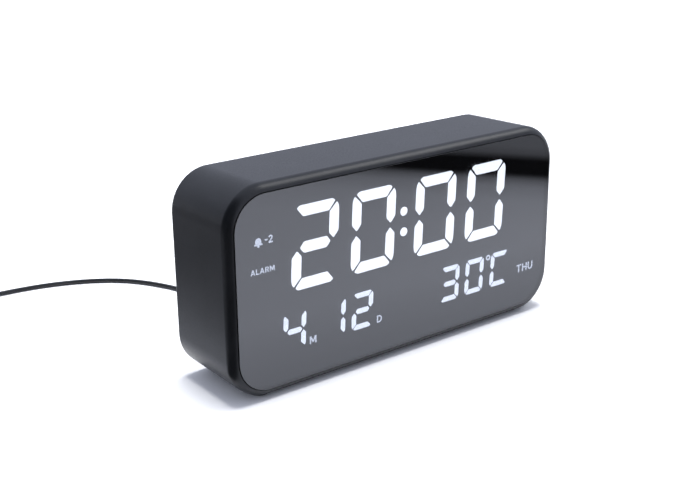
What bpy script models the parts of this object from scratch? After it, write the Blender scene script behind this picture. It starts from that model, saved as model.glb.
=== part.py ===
"""Mirror-front desk alarm clock with its battery door, keys, speaker, display stack and supply lead.

Metres, +Z up. X runs along the front from left to right, the front faces -Y and the feet stand on Z = 0.
The origin is under the middle of the clock's own box. Every object is one piece of the real clock.
"""

import math

import bmesh
import bpy
from mathutils import Matrix, Vector

# Driving dimensions of the housing.
BODY_W = 0.165
BODY_H = 0.0814
BODY_DEEP = 0.0394
FOOT_H = 0.0012
WALL = 0.0022
CORNER_R = 0.0166
FRONT_R = 0.0038
REAR_R = 0.0012
DRAFT = 0.0234

# Depths along Y. The keys stand out furthest at the back.
Y_FRONT = -0.020
Y_REAR = Y_FRONT + BODY_DEEP
Y_COVER_OUT = Y_REAR - 0.0004
COVER_T = 0.0022
Y_COVER_IN = Y_COVER_OUT - COVER_T
Z_MID = FOOT_H + BODY_H / 2

# The smoked lens, its seat in the casing and the gap that neighbours keep.
GAP = 0.0003
LIP = 0.00285
LENS_INSET = 0.0031
LENS_T = 0.002
TAPE_T = 0.0005
LEDGE_T = 0.0018
WINDOW_INSET = 0.0070
WINDOW_R = 0.016
Y_LENS_BACK = Y_FRONT + LENS_T
Y_LEDGE = Y_LENS_BACK + TAPE_T + 2 * GAP
Y_LEDGE_BACK = Y_LEDGE + LEDGE_T

# The readout: large time digits above a row of small ones.
TIME_Z = 0.0554
TIME_W = 0.0213
TIME_H = 0.0324
TIME_STROKE = 0.0043
TIME_X = (-0.0437, -0.0161, 0.0155, 0.0431)
COLON_X = -0.0009
COLON_R = 0.00175
SMALL_Z = 0.02375
SMALL_W = 0.0112
SMALL_H = 0.0158
SMALL_X = (-0.0539, -0.0352, -0.0217, 0.0242, 0.0380, 0.0525)
LABELS = {
    "alarm": (-0.0666, 0.0618, 0.0094, 0.0046),
    "alarm_mode": (-0.0672, 0.0506, 0.0112, 0.0030),
    "month": (-0.0456, 0.0180, 0.0042, 0.0038),
    "day": (-0.0132, 0.0180, 0.0042, 0.0038),
    "weekday": (0.0682, 0.0208, 0.0106, 0.0044),
    "degree": (0.0459, 0.0300, 0.0030, 0.0030),
}
SLANT = 0.05

# Rear fittings.
BOSS_R = 0.0025
BOSS_REACH = 0.0102
KEY_Z = 0.066
KEY_PITCH = 0.0165
KEY_LONG = 0.0110
KEY_HIGH = 0.0050
KEY_NAMES = ("set", "up", "down", "alarm", "light")
SPEAKER = (-0.052, 0.041)
SPEAKER_R = 0.014
JACK = (-0.030, 0.0135)
CELL_R = 0.00525
CELL_LONG = 0.0445
BATTERY = (0.034, 0.030)
BATTERY_LONG = 0.0490
BATTERY_HIGH = 0.0226
DOOR_T = 0.0016
DOOR_RIM = 0.0014

# The supply lead: a limp low-voltage cord from the jack to a flat plug.
CORD_D = 0.0020
COIL_CENTRE = (-0.134, 0.1315)
COIL_RING_R = 0.011
COIL_PITCH = 0.0021
COIL_ROWS = 4
TIE_T = 0.0005
LEAD_ROUTE = (
    (-0.0300, 0.0473, 0.0135),
    (-0.0300, 0.0520, 0.0133),
    (-0.0301, 0.0580, 0.0123),
    (-0.0304, 0.0640, 0.0104),
    (-0.0308, 0.0700, 0.0078),
    (-0.0314, 0.0765, 0.0048),
    (-0.0322, 0.0830, 0.0026),
    (-0.0334, 0.0900, 0.0014),
    (-0.0352, 0.0970, 0.00105),
    (-0.0376, 0.1040, 0.00105),
    (-0.0407, 0.1110, 0.00105),
    (-0.0447, 0.1180, 0.00105),
    (-0.0500, 0.1248, 0.00105),
    (-0.0570, 0.1310, 0.00105),
    (-0.0655, 0.1362, 0.00105),
    (-0.0745, 0.1402, 0.00105),
    (-0.0840, 0.1431, 0.00105),
    (-0.0940, 0.1449, 0.00105),
    (-0.1040, 0.1457, 0.00120),
    (-0.1140, 0.1459, 0.00155),
    (-0.1240, 0.1458, 0.00180),
)
TAIL_ROUTE = (
    (-0.1483, 0.1310, 0.0081),
    (-0.1484, 0.1270, 0.0078),
    (-0.1486, 0.1230, 0.0068),
    (-0.1489, 0.1190, 0.0054),
    (-0.1493, 0.1150, 0.0042),
    (-0.1497, 0.1110, 0.0036),
    (-0.1500, 0.1070, 0.0035),
)
USB_X = -0.150
USB_Y = 0.1067


def linear(hex_colour):
    """A hex display colour as linear red, green, blue and alpha."""
    values = [int(hex_colour[i : i + 2], 16) / 255 for i in (1, 3, 5)]
    return [v / 12.92 if v <= 0.04045 else ((v + 0.055) / 1.055) ** 2.4 for v in values] + [1.0]


def paint(obj, hex_colour, roughness, metallic=0.0):
    """Give the object a Principled material of its own."""
    look = bpy.data.materials.new(obj.name + "_look")
    look.use_nodes = True
    shader = look.node_tree.nodes["Principled BSDF"]
    shader.inputs["Base Color"].default_value = linear(hex_colour)
    shader.inputs["Roughness"].default_value = roughness
    shader.inputs["Metallic"].default_value = metallic
    obj.data.materials.append(look)
    return obj


def link(name, data):
    """A new object in the scene."""
    obj = bpy.data.objects.new(name, data)
    bpy.context.scene.collection.objects.link(obj)
    return obj


def skin(name, verts, faces):
    """A mesh object with doubles merged and faces pointing out."""
    mesh = bpy.data.meshes.new(name)
    mesh.from_pydata([tuple(v) for v in verts], [], faces)
    tidy(mesh)
    return link(name, mesh)


def tidy(mesh):
    """Merge coincident points, turn faces outwards and shade round parts smooth."""
    shape = bmesh.new()
    shape.from_mesh(mesh)
    bmesh.ops.remove_doubles(shape, verts=shape.verts, dist=1e-7)
    bmesh.ops.recalc_face_normals(shape, faces=shape.faces)
    shape.to_mesh(mesh)
    shape.free()
    mesh.shade_smooth()
    mesh.set_sharp_from_angle(angle=math.radians(35))


def loft(name, rings, closed=False):
    """A body whose skin joins the rings in turn, capped at both ends unless it closes on itself."""
    count = len(rings[0])
    total = len(rings) * count
    faces = []
    for i in range(len(rings) if closed else len(rings) - 1):
        a = i * count
        b = (a + count) % total
        for j in range(count):
            k = (j + 1) % count
            faces.append((a + j, a + k, b + k, b + j))
    if not closed:
        faces.append(tuple(range(count)))
        faces.append(tuple(range(total - count, total)))
    return skin(name, [point for ring in rings for point in ring], faces)


def rounded(half_w, half_h, radius, centre=(0.0, 0.0), steps=6):
    """A rounded rectangle's points, anticlockwise from its right side."""
    points = []
    for quarter, (sx, sy) in enumerate(((1, 1), (-1, 1), (-1, -1), (1, -1))):
        cx = centre[0] + sx * (half_w - radius)
        cy = centre[1] + sy * (half_h - radius)
        for i in range(steps + 1):
            angle = (quarter + i / steps) * math.pi / 2
            points.append((cx + radius * math.cos(angle), cy + radius * math.sin(angle)))
    return points


def circle(radius, centre=(0.0, 0.0), steps=16):
    """A circle's points."""
    turn = 2 * math.pi / steps
    return [
        (centre[0] + radius * math.cos(i * turn), centre[1] + radius * math.sin(i * turn))
        for i in range(steps)
    ]


def across(points, y):
    """Points of an outline drawn in X and Z, stood at depth y."""
    return [(x, y, z) for x, z in points]


def flat(points, z):
    """Points of an outline drawn in X and Y, laid at height z."""
    return [(x, y, z) for x, y in points]


def turned(name, profile, centre, steps=16):
    """A body turned about a line along Y through centre (x, z), from (radius, y) pairs."""
    return loft(name, [across(circle(r, centre, steps), y) for r, y in profile])


def plate(name, outline, holes, y0, y1):
    """A flat plate in the X-Z plane between two depths, with holes through it."""
    curve = bpy.data.curves.new(name, "CURVE")
    curve.dimensions = "2D"
    curve.fill_mode = "BOTH"
    curve.extrude = (y1 - y0) / 2
    for points in [outline, *holes]:
        spline = curve.splines.new("POLY")
        spline.points.add(len(points) - 1)
        spline.use_cyclic_u = True
        for point, (x, z) in zip(spline.points, points):
            point.co = (x, z, 0, 1)
    pattern = link(name + "_pattern", curve)
    mesh = bpy.data.meshes.new_from_object(pattern)
    bpy.data.objects.remove(pattern)
    upright = Matrix.Rotation(math.pi / 2, 4, "X")
    mesh.transform(Matrix.Translation((0, (y0 + y1) / 2, 0)) @ upright)
    mesh.name = name
    tidy(mesh)
    return link(name, mesh)


def box(name, low, high):
    """A plain block between two corners."""
    (x0, y0, z0), (x1, y1, z1) = low, high
    base = ((x0, y0), (x1, y0), (x1, y1), (x0, y1))
    return loft(name, [flat(base, z0), flat(base, z1)])


def boolean(obj, tool, operation):
    """Join a tool to the object or cut it away, and hide the tool."""
    step = obj.modifiers.new(tool.name, "BOOLEAN")
    step.operation = operation
    step.solver = "EXACT"
    step.object = tool
    tool.hide_render = True
    tool.display_type = "WIRE"


def joined(name, parts):
    """One guide object that holds several separate bodies."""
    shape = bmesh.new()
    for part in parts:
        shape.from_mesh(part.data)
        bpy.data.objects.remove(part)
    mesh = bpy.data.meshes.new(name)
    shape.to_mesh(mesh)
    shape.free()
    return link(name, mesh)


def move_origin(obj, point):
    """Put the object's origin at a world point and leave its shape where it is."""
    obj.data.transform(Matrix.Translation(-Vector(point)))
    obj.location = point
    return obj


def body_half(y, inset=0.0):
    """Half width, half height and corner radius of the drafted housing at depth y."""
    less = inset + DRAFT * max(0.0, y - Y_FRONT - FRONT_R)
    return BODY_W / 2 - less, BODY_H / 2 - less, CORNER_R - less


def body_ring(y, inset=0.0, radius=None, drafted=True):
    """The housing's rounded outline at depth y, moved in by inset."""
    half_w, half_h, corner = body_half(y if drafted else Y_FRONT, inset)
    return across(rounded(half_w, half_h, radius or corner, (0, Z_MID)), y)


def boss_places():
    """The four cover screws' centres, just inside the rounded corners."""
    reach = BOSS_REACH * math.sqrt(0.5)
    x = BODY_W / 2 - CORNER_R + reach
    z = BODY_H / 2 - CORNER_R + reach
    return [(sx * x, Z_MID + sz * z) for sx in (-1, 1) for sz in (-1, 1)]


def ear_places():
    """The four display screws' centres, beside the window."""
    return [(sx * 0.0774, Z_MID + sz * 0.014) for sx in (-1, 1) for sz in (-1, 1)]


def foot_places():
    """The rubber feet's names and centres."""
    return [
        (f"foot_{row}_{side}", (sx * 0.066, y))
        for row, y in (("front", -0.0115), ("rear", 0.0120))
        for side, sx in (("left", -1), ("right", 1))
    ]


def key_places():
    """The keys' names and centres."""
    middle = (len(KEY_NAMES) - 1) / 2
    return [(name, ((i - middle) * KEY_PITCH, KEY_Z)) for i, name in enumerate(KEY_NAMES)]


def segments(centre, width, height, stroke):
    """The seven bars of a digit, as outlines that lean a little to the right."""
    a, b, t = width / 2, height / 2, stroke
    gap = 0.1 * t
    cut = 0.22 * t
    end = [(-a + t + gap, b - t), (-a + cut + gap, b - cut), (-a + 2 * cut + gap, b)]
    top = end + [(-x, z) for x, z in reversed(end)]
    side = [
        (-a + t, b - t - gap),
        (-a + t, 0.75 * t),
        (-a + t / 2, 0.2 * t),
        (-a, 0.8 * t),
        (-a, b - t),
        (-a + cut, b - cut - gap),
    ]
    tip = [(-a + t - 2 * gap + 0.6 * t, t / 2), (-a + t - 2 * gap + 0.1 * t, 0.0)]
    middle = tip + [(x, -z) for x, z in tip[:1]]
    middle += [(-x, z) for x, z in reversed(middle)]
    bars = [top, side, middle]
    bars += [[(-x, z) for x, z in side], [(x, -z) for x, z in top]]
    bars += [[(x, -z) for x, z in side], [(-x, -z) for x, z in side]]
    return [[(centre[0] + x + SLANT * z, centre[1] + z) for x, z in bar] for bar in bars]


def light_windows():
    """Openings for every lit mark of the readout."""
    holes = []
    for x in TIME_X:
        holes += segments((x, TIME_Z), TIME_W, TIME_H, TIME_STROKE)
    for side in (-1, 1):
        holes.append(circle(COLON_R, (COLON_X, TIME_Z + side * 0.00418), 10))
    rooms = [(x, SMALL_Z, SMALL_W, SMALL_H) for x in SMALL_X] + list(LABELS.values())
    for x, z, wide, high in rooms:
        lean = SLANT * high / 2
        holes.append(
            [
                (x - wide / 2 - lean, z - high / 2),
                (x + wide / 2 - lean, z - high / 2),
                (x + wide / 2 + lean, z + high / 2),
                (x - wide / 2 + lean, z + high / 2),
            ]
        )
    return holes


def make_casing():
    """The drafted shell: rounded front edge, lens seat, window, open back, four screw posts."""
    front = []
    for i in range(5):
        angle = math.radians(75.5 * (1 - i / 4))
        inset = FRONT_R * (1 - math.cos(angle))
        front.append(body_ring(Y_FRONT + FRONT_R * (1 - math.sin(angle)), inset, drafted=False))
    back = []
    for i in range(4):
        angle = math.radians(30 * i)
        inset = REAR_R * (1 - math.cos(angle))
        back.append(body_ring(Y_REAR - REAR_R * (1 - math.sin(angle)), inset))
    half_w, half_h, _ = body_half(Y_FRONT, WINDOW_INSET)
    window = rounded(half_w, half_h, WINDOW_R, (0, Z_MID))
    rings = front + back
    rings += [body_ring(Y_REAR, WALL), body_ring(Y_LEDGE_BACK, WALL)]
    rings += [across(window, Y_LEDGE_BACK), across(window, Y_LEDGE)]
    rings += [body_ring(Y_LEDGE, LIP, drafted=False)]
    casing = loft("casing", rings, closed=True)
    posts = []
    for place in boss_places():
        skin_rings = [(BOSS_R, Y_LEDGE_BACK - 0.0006), (BOSS_R, Y_COVER_IN - GAP)]
        skin_rings += [(0.0014, Y_COVER_IN - GAP), (0.0014, Y_COVER_IN - 0.009)]
        posts.append(turned("post", skin_rings, place, 14))
    boolean(casing, joined("casing_posts", posts), "UNION")
    pockets = []
    for place in ear_places():
        pockets.append(turned("hole", [(0.0010, Y_LEDGE + 0.0004), (0.0010, 0.0)], place, 10))
    for _, place in foot_places():
        pockets.append(loft("hole", [flat(circle(0.0043, place, 20), z) for z in (-0.001, 0.00265)]))
    boolean(casing, joined("casing_pockets", pockets), "DIFFERENCE")
    paint(casing, "#26282c", 0.42)


def make_lens():
    """The smoked mirror lens with a fine bevel, and the foam tape that holds it."""
    half_w, half_h, corner = body_half(Y_FRONT, LENS_INSET)
    bevel = 0.0002
    rings = []
    for less, y in ((bevel, Y_FRONT), (0, Y_FRONT + bevel), (0, Y_LENS_BACK)):
        points = rounded(half_w - less, half_h - less, corner - less, (0, Z_MID), 8)
        rings.append(across(points, y))
    paint(loft("front_lens", rings), "#3c3e42", 0.05)
    y0 = Y_LENS_BACK + GAP
    y1 = y0 + TAPE_T
    outer, inner = LENS_INSET + 0.0005, WINDOW_INSET - 0.0003
    rings = [body_ring(y, inset, drafted=False) for y, inset in ((y0, outer), (y1, outer), (y1, inner), (y0, inner))]
    paint(loft("lens_tape", rings, closed=True), "#141414", 0.9)


def make_display():
    """Printed mask, diffuser film, light-guide frame and its circuit board."""
    half_w, half_h, _ = body_half(Y_FRONT, WINDOW_INSET + GAP)
    outline = rounded(half_w, half_h, WINDOW_R - GAP, (0, Z_MID))
    mask_y = Y_LENS_BACK + GAP
    windows = light_windows()
    paint(plate("display_mask", outline, windows, mask_y, mask_y + 0.0003), "#0d0d0e", 0.7)
    film_y = mask_y + 0.0006
    paint(plate("diffuser_sheet", outline, [], film_y, film_y + 0.0004), "#e9ebee", 0.5)
    frame_y = film_y + 0.0007
    frame = plate("reflector_frame", outline, windows, frame_y, frame_y + 0.007)
    ears = []
    for x, z in ear_places():
        side = math.copysign(1, x)
        low, high = sorted((x - side * 0.0042, x + side * 0.0022))
        ear_y = Y_LEDGE_BACK + GAP
        ears.append(box("ear", (low, ear_y, z - 0.004), (high, ear_y + 0.0016, z + 0.004)))
    boolean(frame, joined("reflector_ears", ears), "UNION")
    holes = [
        turned("hole", [(0.0012, Y_LEDGE_BACK - 0.001), (0.0012, Y_LEDGE_BACK + 0.004)], place, 10)
        for place in ear_places()
    ]
    boolean(frame, joined("reflector_holes", holes), "DIFFERENCE")
    paint(frame, "#e8e8e4", 0.5)
    for number, place in enumerate(ear_places(), 1):
        head_y = Y_LEDGE_BACK + 2 * GAP + 0.0016
        profile = [(0.00035, Y_LEDGE + 0.0007), (0.0007, Y_LEDGE + 0.0011), (0.0007, head_y)]
        profile += [(0.0017, head_y), (0.0019, head_y + 0.0004), (0.0014, head_y + 0.0012)]
        paint(turned(f"display_screw_{number}", profile, place, 12), "#8d9095", 0.35, 1.0)
    board_y = frame_y + 0.007 + GAP
    paint(plate("display_board", outline, [], board_y, board_y + 0.0016), "#1d5b38", 0.45)
    return board_y + 0.0016


def make_board_parts(back):
    """Controller, capacitor and ribbon header on the display board's back."""
    y0 = back + GAP
    legs = []
    chip = loft(
        "controller_chip",
        [
            across(rounded(0.0050 - less, 0.0050 - less, 0.0006, (0.020, 0.048), 2), y)
            for less, y in ((0.0002, y0 + 0.0002), (0.0, y0 + 0.0007), (0.0003, y0 + 0.0016))
        ],
    )
    for i in range(8):
        shift = (i - 3.5) * 0.0011
        legs.append(
            box("leg", (0.0138, y0, 0.048 + shift - 0.0002), (0.0262, y0 + 0.0005, 0.048 + shift + 0.0002))
        )
    boolean(chip, joined("chip_legs", legs), "UNION")
    paint(chip, "#202022", 0.5)
    profile = [(0.0029, y0), (0.00315, y0 + 0.0004), (0.00315, y0 + 0.0012), (0.0028, y0 + 0.0016)]
    profile += [(0.00315, y0 + 0.0020), (0.00315, y0 + 0.0074), (0.0029, y0 + 0.0077)]
    paint(turned("supply_capacitor", profile, (-0.006, 0.022), 16), "#9aa0a8", 0.35, 0.8)
    shell = [
        across(rounded(wide, high, 0.0003, (-0.012, 0.050), 1), y)
        for wide, high, y in (
            (0.0075, 0.0024, y0),
            (0.0075, 0.0024, y0 + 0.0050),
            (0.0067, 0.0016, y0 + 0.0050),
            (0.0067, 0.0016, y0 + 0.0016),
        )
    ]
    paint(loft("ribbon_header", shell), "#e6e0cf", 0.5)


def make_ribbon(back, board_front):
    """The flat ribbon from the display board's header up to the key board."""
    y0 = back + GAP + 0.0019
    path = [(y0, 0.050), (y0 + 0.0030, 0.050), (y0 + 0.0048, 0.0514), (y0 + 0.0056, 0.0540)]
    path += [(y0 + 0.0062, 0.0575), (y0 + 0.0080, 0.0605), (board_front - GAP, 0.0612)]
    rings = []
    for i, (y, z) in enumerate(path):
        (ya, za), (yb, zb) = path[max(i - 1, 0)], path[min(i + 1, len(path) - 1)]
        along = Vector((yb - ya, zb - za)).normalized() * 0.0004
        low, high = (y + along.y, z - along.x), (y - along.y, z + along.x)
        rings.append(
            [
                (-0.012 + side * 0.006, *point)
                for side, point in ((-1, low), (1, low), (1, high), (-1, high))
            ]
        )
    paint(loft("ribbon_cable", rings), "#c9ccd1", 0.5)


def stadium(centre, long, high, steps=5):
    """A slot with round ends."""
    radius = high / 2
    points = []
    for side in (1, -1):
        for i in range(2 * steps + 1):
            angle = math.pi * (i / (2 * steps) - 0.5)
            along = side * (long / 2 - radius + radius * math.cos(angle))
            points.append((centre[0] + along, centre[1] + side * radius * math.sin(angle)))
    return points


def grille_slots():
    """Straight slots inside a circle over the speaker."""
    slots = []
    for i in range(-3, 4):
        z = i * 0.0031
        long = 2 * math.sqrt(0.0112**2 - z**2)
        slots.append(stadium((SPEAKER[0], SPEAKER[1] + z), long, 0.0015, 2))
    return slots


def make_rear_cover():
    """The back plate: key, jack, speaker and sensor openings, battery tray and screw seats."""
    half_w, half_h, corner = body_half(Y_COVER_OUT, WALL + GAP)
    outline = rounded(half_w, half_h, corner, (0, Z_MID))
    holes = [stadium(place, KEY_LONG + 0.0006, KEY_HIGH + 0.0006, 4) for _, place in key_places()]
    holes += [circle(0.0016, place, 12) for place in boss_places()]
    holes += grille_slots()
    holes.append(circle(0.0041, JACK, 20))
    holes += [stadium((-0.061, 0.0105 + i * 0.0026), 0.009, 0.0013, 2) for i in range(3)]
    cover = plate("rear_cover", outline, holes, Y_COVER_IN, Y_COVER_OUT)
    x, z = BATTERY
    long, high = BATTERY_LONG / 2, BATTERY_HIGH / 2
    floor_y = Y_COVER_OUT - DOOR_T - GAP - 2 * CELL_R - 0.0006
    thick = 0.0014
    low = (x - long - thick, floor_y - thick, z - high - thick)
    tray = box("cover_tray", low, (x + long + thick, Y_COVER_IN + 0.0010, z + high + thick))
    boolean(cover, tray, "UNION")
    rim = long + DOOR_RIM, high + DOOR_RIM
    rebate_y = Y_COVER_OUT - DOOR_T - GAP
    rebate = box("cover_rebate", (x - rim[0], rebate_y, z - rim[1]), (x + rim[0], 0.03, z + rim[1]))
    boolean(cover, rebate, "DIFFERENCE")
    cavity = box("cover_cavity", (x - long, floor_y, z - high), (x + long, rebate_y + 0.0005, z + high))
    boolean(cover, cavity, "DIFFERENCE")
    pockets = [
        box(
            "pocket",
            (x + side * 0.015 - 0.0043, rebate_y - 0.0020, z - rim[1] - 0.0016),
            (x + side * 0.015 + 0.0043, Y_COVER_OUT - 0.0006, z - high + 0.0004),
        )
        for side in (-1, 1)
    ]
    boolean(cover, joined("cover_pockets", pockets), "DIFFERENCE")
    seats = [
        turned("seat", [(0.0026, Y_COVER_OUT - 0.0012), (0.0026, 0.03)], place, 14)
        for place in boss_places()
    ]
    boolean(cover, joined("cover_seats", seats), "DIFFERENCE")
    paint(cover, "#232528", 0.5)


def make_battery_door():
    """The battery lid, turning on its rounded lower edge, with two tongues and a latch tab."""
    x, z = BATTERY
    half = BATTERY_LONG / 2 + DOOR_RIM - GAP
    top = z + BATTERY_HIGH / 2 + DOOR_RIM - GAP
    r = DOOR_T / 2
    axis_y = Y_COVER_OUT - r
    axis_z = z - BATTERY_HIGH / 2 - DOOR_RIM + GAP + r
    profile = [(axis_y - r, top), (axis_y + r, top)]
    for i in range(7):
        angle = math.pi * i / 6
        profile.append((axis_y + r * math.cos(angle), axis_z - r * math.sin(angle)))
    door = loft("battery_door", [[(x + s * half, y, h) for y, h in profile] for s in (-1, 1)])
    tabs = [
        box(
            "tab",
            (x + side * 0.015 - 0.004, axis_y - r + 0.0001, axis_z - 0.0021),
            (x + side * 0.015 + 0.004, axis_y - r + 0.0008, axis_z + 0.0006),
        )
        for side in (-1, 1)
    ]
    latch_top = z + BATTERY_HIGH / 2 - 0.0003
    tabs.append(box("tab", (x - 0.006, axis_y - 0.0028, latch_top - 0.0008), (x + 0.006, axis_y, latch_top)))
    boolean(door, joined("door_tabs", tabs), "UNION")
    grips = [
        box("grip", (x - 0.007, Y_COVER_OUT - 0.0005, top - h - 0.0007), (x + 0.007, 0.03, top - h))
        for h in (0.0025, 0.0040, 0.0055)
    ]
    boolean(door, joined("door_grips", grips), "DIFFERENCE")
    paint(door, "#232528", 0.5)
    for tool in bpy.data.objects:
        if tool.name in ("door_tabs", "door_grips"):
            move_origin(tool, (x, axis_y, axis_z))
    move_origin(door, (x, axis_y, axis_z))


def make_batteries():
    """Two cells head to tail in the tray, with a spring at each flat end and two flat contacts."""
    x, z = BATTERY
    cell_y = Y_COVER_OUT - DOOR_T - 2 * GAP - CELL_R
    half = CELL_LONG / 2
    contact_t = 0.0004
    reach = BATTERY_LONG / 2 - GAP
    for number, side in ((1, 1), (2, -1)):
        centre_z = z + side * (CELL_R + 0.0002)
        shift = side * (reach - contact_t - GAP - half)
        rings = []
        profile = [(0.0030, -half + 0.0004), (0.0046, -half), (CELL_R, -half + 0.0005)]
        profile += [(CELL_R, half - 0.0018), (0.0046, half - 0.0012), (0.0019, half - 0.0010)]
        profile += [(0.0019, half - 0.0001), (0.0015, half)]
        for radius, along in profile:
            ring = circle(radius, (cell_y, centre_z), 16)
            rings.append([(x + shift + side * along, u, v) for u, v in ring])
        paint(loft(f"battery_cell_{number}", rings), "#b9bcc2", 0.3, 0.6)
        base = x - side * (reach - contact_t - GAP)
        length = reach - contact_t - half + side * shift - 2.5 * GAP
        points = []
        for i in range(21):
            angle = 2 * math.pi * i / 10
            radius = 0.0036 - 0.0018 * i / 20
            along = side * length * i / 20
            points.append((base + along, cell_y + radius * math.cos(angle), centre_z + radius * math.sin(angle)))
        paint(tube(f"battery_spring_{number}", points, 0.00022, 1), "#c3c6ca", 0.3, 1.0)
    right, left = x + reach, x - reach
    outline = rounded(0.0030, 0.0036, 0.0008, (cell_y, z + CELL_R), 2)
    rings = [[(end, u, v) for u, v in outline] for end in (right - contact_t, right)]
    paint(loft("battery_plate", rings), "#c3c6ca", 0.3, 1.0)
    outline = rounded(0.0034, 0.0096, 0.0008, (cell_y, z), 2)
    rings = [[(end, u, v) for u, v in outline] for end in (left, left + contact_t)]
    paint(loft("battery_bridge", rings), "#c3c6ca", 0.3, 1.0)


def tube(name, points, radius, resolution=2):
    """A round cord or wire along a list of points."""
    curve = bpy.data.curves.new(name, "CURVE")
    curve.dimensions = "3D"
    curve.bevel_depth = radius
    curve.bevel_resolution = resolution
    curve.use_fill_caps = True
    spline = curve.splines.new("POLY")
    spline.points.add(len(points) - 1)
    for point, place in zip(spline.points, points):
        point.co = (*place, 1)
    return link(name, curve)


def make_keys():
    """Rear keys, each with its switch and plunger, and the board behind them."""
    board_y = Y_COVER_IN - 0.0072
    half = 2.5 * KEY_PITCH
    board = plate("key_board", rounded(half, 0.0068, 0.001, (0, KEY_Z), 2), [], board_y, board_y + 0.0016)
    paint(board, "#1d5b38", 0.45)
    switch_y = board_y + 0.0016 + GAP
    for name, place in key_places():
        rings = []
        for grow, y in (
            (0.0012, Y_COVER_IN - 0.0010),
            (0.0012, Y_COVER_IN - 0.0002),
            (0.0, Y_COVER_IN - 0.0002),
            (0.0, 0.0196),
            (-0.0004, 0.0200),
        ):
            rings.append(across(stadium(place, KEY_LONG + 2 * grow, KEY_HIGH + 2 * grow, 3), y))
        key = paint(loft(f"key_{name}", rings), "#1b1c1e", 0.55)
        move_origin(key, (place[0], Y_COVER_IN, place[1]))
        seat = circle(0.0021, place, 12)
        corner = [(place[0] + u, place[1] + v) for u, v in rounded(0.0030, 0.0030, 0.0005, steps=2)]
        rings = [across(corner, switch_y), across(corner, switch_y + 0.0030)]
        rings += [across(seat, switch_y + 0.0030), across(seat, switch_y + 0.0014)]
        paint(loft(f"switch_{name}", rings), "#3a3c40", 0.4)
        profile = [(0.0017, switch_y + 0.0022), (0.0017, Y_COVER_IN - 0.0014), (0.0015, Y_COVER_IN - 0.0013)]
        plunger = paint(turned(f"plunger_{name}", profile, place, 12), "#d9d6cc", 0.4)
        move_origin(plunger, (place[0], Y_COVER_IN, place[1]))
    return board_y


def make_speaker():
    """A small round speaker behind the slots: frame, cone and magnet."""
    front = Y_COVER_IN - GAP
    profile = [(SPEAKER_R, front), (SPEAKER_R, front - 0.0012), (0.0125, front - 0.0014)]
    profile += [(0.0115, front - 0.0034), (0.0070, front - 0.0046), (0.0058, front - 0.0046)]
    profile += [(0.0058, front - 0.0038), (0.0068, front - 0.0038), (0.0108, front - 0.0028)]
    profile += [(0.0120, front - 0.0008), (0.0130, front)]
    rings = [across(circle(r, SPEAKER, 24), y) for r, y in profile]
    paint(loft("speaker_frame", rings, closed=True), "#6c6f74", 0.4, 0.8)
    profile = [(0.0117, front - 0.0004), (0.0110, front - 0.0008), (0.0062, front - 0.0024)]
    profile += [(0.0048, front - 0.0014), (0.0020, front - 0.0008), (0.0020, front - 0.0004)]
    profile += [(0.0050, front - 0.0010), (0.0062, front - 0.0019), (0.0112, front - 0.0003)]
    rings = [across(circle(r, SPEAKER, 24), y) for r, y in profile]
    cone = loft("speaker_cone", [rings[i] for i in (5, 6, 7, 8, 0, 1, 2, 3, 4)])
    paint(cone, "#2b2d33", 0.35)
    profile = [(0.0046, front - 0.0040), (0.0054, front - 0.0044), (0.0054, front - 0.0049)]
    profile += [(0.0068, front - 0.0049), (0.0068, front - 0.0082), (0.0064, front - 0.0086)]
    paint(turned("speaker_magnet", profile, SPEAKER, 20), "#85888d", 0.35, 1.0)


def make_jack_and_sensor():
    """The round supply jack and the temperature bead near the lower vents."""
    mouth = Y_COVER_IN - GAP
    outer = [(JACK[0] + u, JACK[1] + v) for u, v in rounded(0.0050, 0.0048, 0.0012, steps=3)]
    rings = [across(outer, mouth - 0.0112), across(outer, mouth)]
    rings += [across(circle(r, JACK, 16), y) for r, y in ((0.00205, mouth), (0.00205, mouth - 0.0092))]
    rings += [across(circle(0.0005, JACK, 16), y) for y in (mouth - 0.0092, mouth - 0.0012)]
    paint(loft("power_jack", rings), "#202124", 0.45)
    place = (-0.061, 0.0131)
    profile = [(0.0006, 0.0098), (0.0012, 0.0102), (0.0016, 0.0112), (0.0015, 0.0128), (0.0009, 0.0137)]
    paint(turned("temperature_sensor", profile, place, 12), "#27272b", 0.3)


def make_screws_and_feet():
    """Four pan-head cover screws and four rubber feet."""
    seat = Y_COVER_OUT - 0.0012
    for number, place in enumerate(boss_places(), 1):
        profile = [(0.0005, Y_COVER_IN - 0.0072), (0.00115, Y_COVER_IN - 0.0062), (0.00115, seat + GAP)]
        profile += [(0.0021, seat + GAP), (0.0022, seat + 0.0008), (0.0017, seat + 0.0014)]
        paint(turned(f"cover_screw_{number}", profile, place, 12), "#4a4c50", 0.35, 1.0)
    for name, place in foot_places():
        profile = [(0.0037, 0.0), (0.0040, 0.0003), (0.0040, 0.00235)]
        rings = [flat(circle(r, place, 20), z) for r, z in profile]
        paint(loft(name, rings), "#17181a", 0.85)


def through(route, step):
    """Points an even step apart along a smooth curve through the route's points."""
    points = [Vector(p) for p in route]
    ends = [points[0] * 2 - points[1], *points, points[-1] * 2 - points[-2]]
    fine = []
    for a, b, c, d in zip(ends, ends[1:], ends[2:], ends[3:]):
        for i in range(24):
            t = i / 24
            fine.append(
                0.5 * (2 * b + (c - a) * t + (2 * a - 5 * b + 4 * c - d) * t**2 + (3 * b - a - 3 * c + d) * t**3)
            )
    fine.append(points[-1])
    total = sum((q - p).length for p, q in zip(fine, fine[1:]))
    count = round(total / step)
    even, walked, target = [fine[0]], 0.0, total / count
    for p, q in zip(fine, fine[1:]):
        length = (q - p).length
        while walked + length >= target and len(even) < count:
            even.append(p.lerp(q, (target - walked) / length))
            target += total / count
        walked += length
    return even + [fine[-1]]


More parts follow.
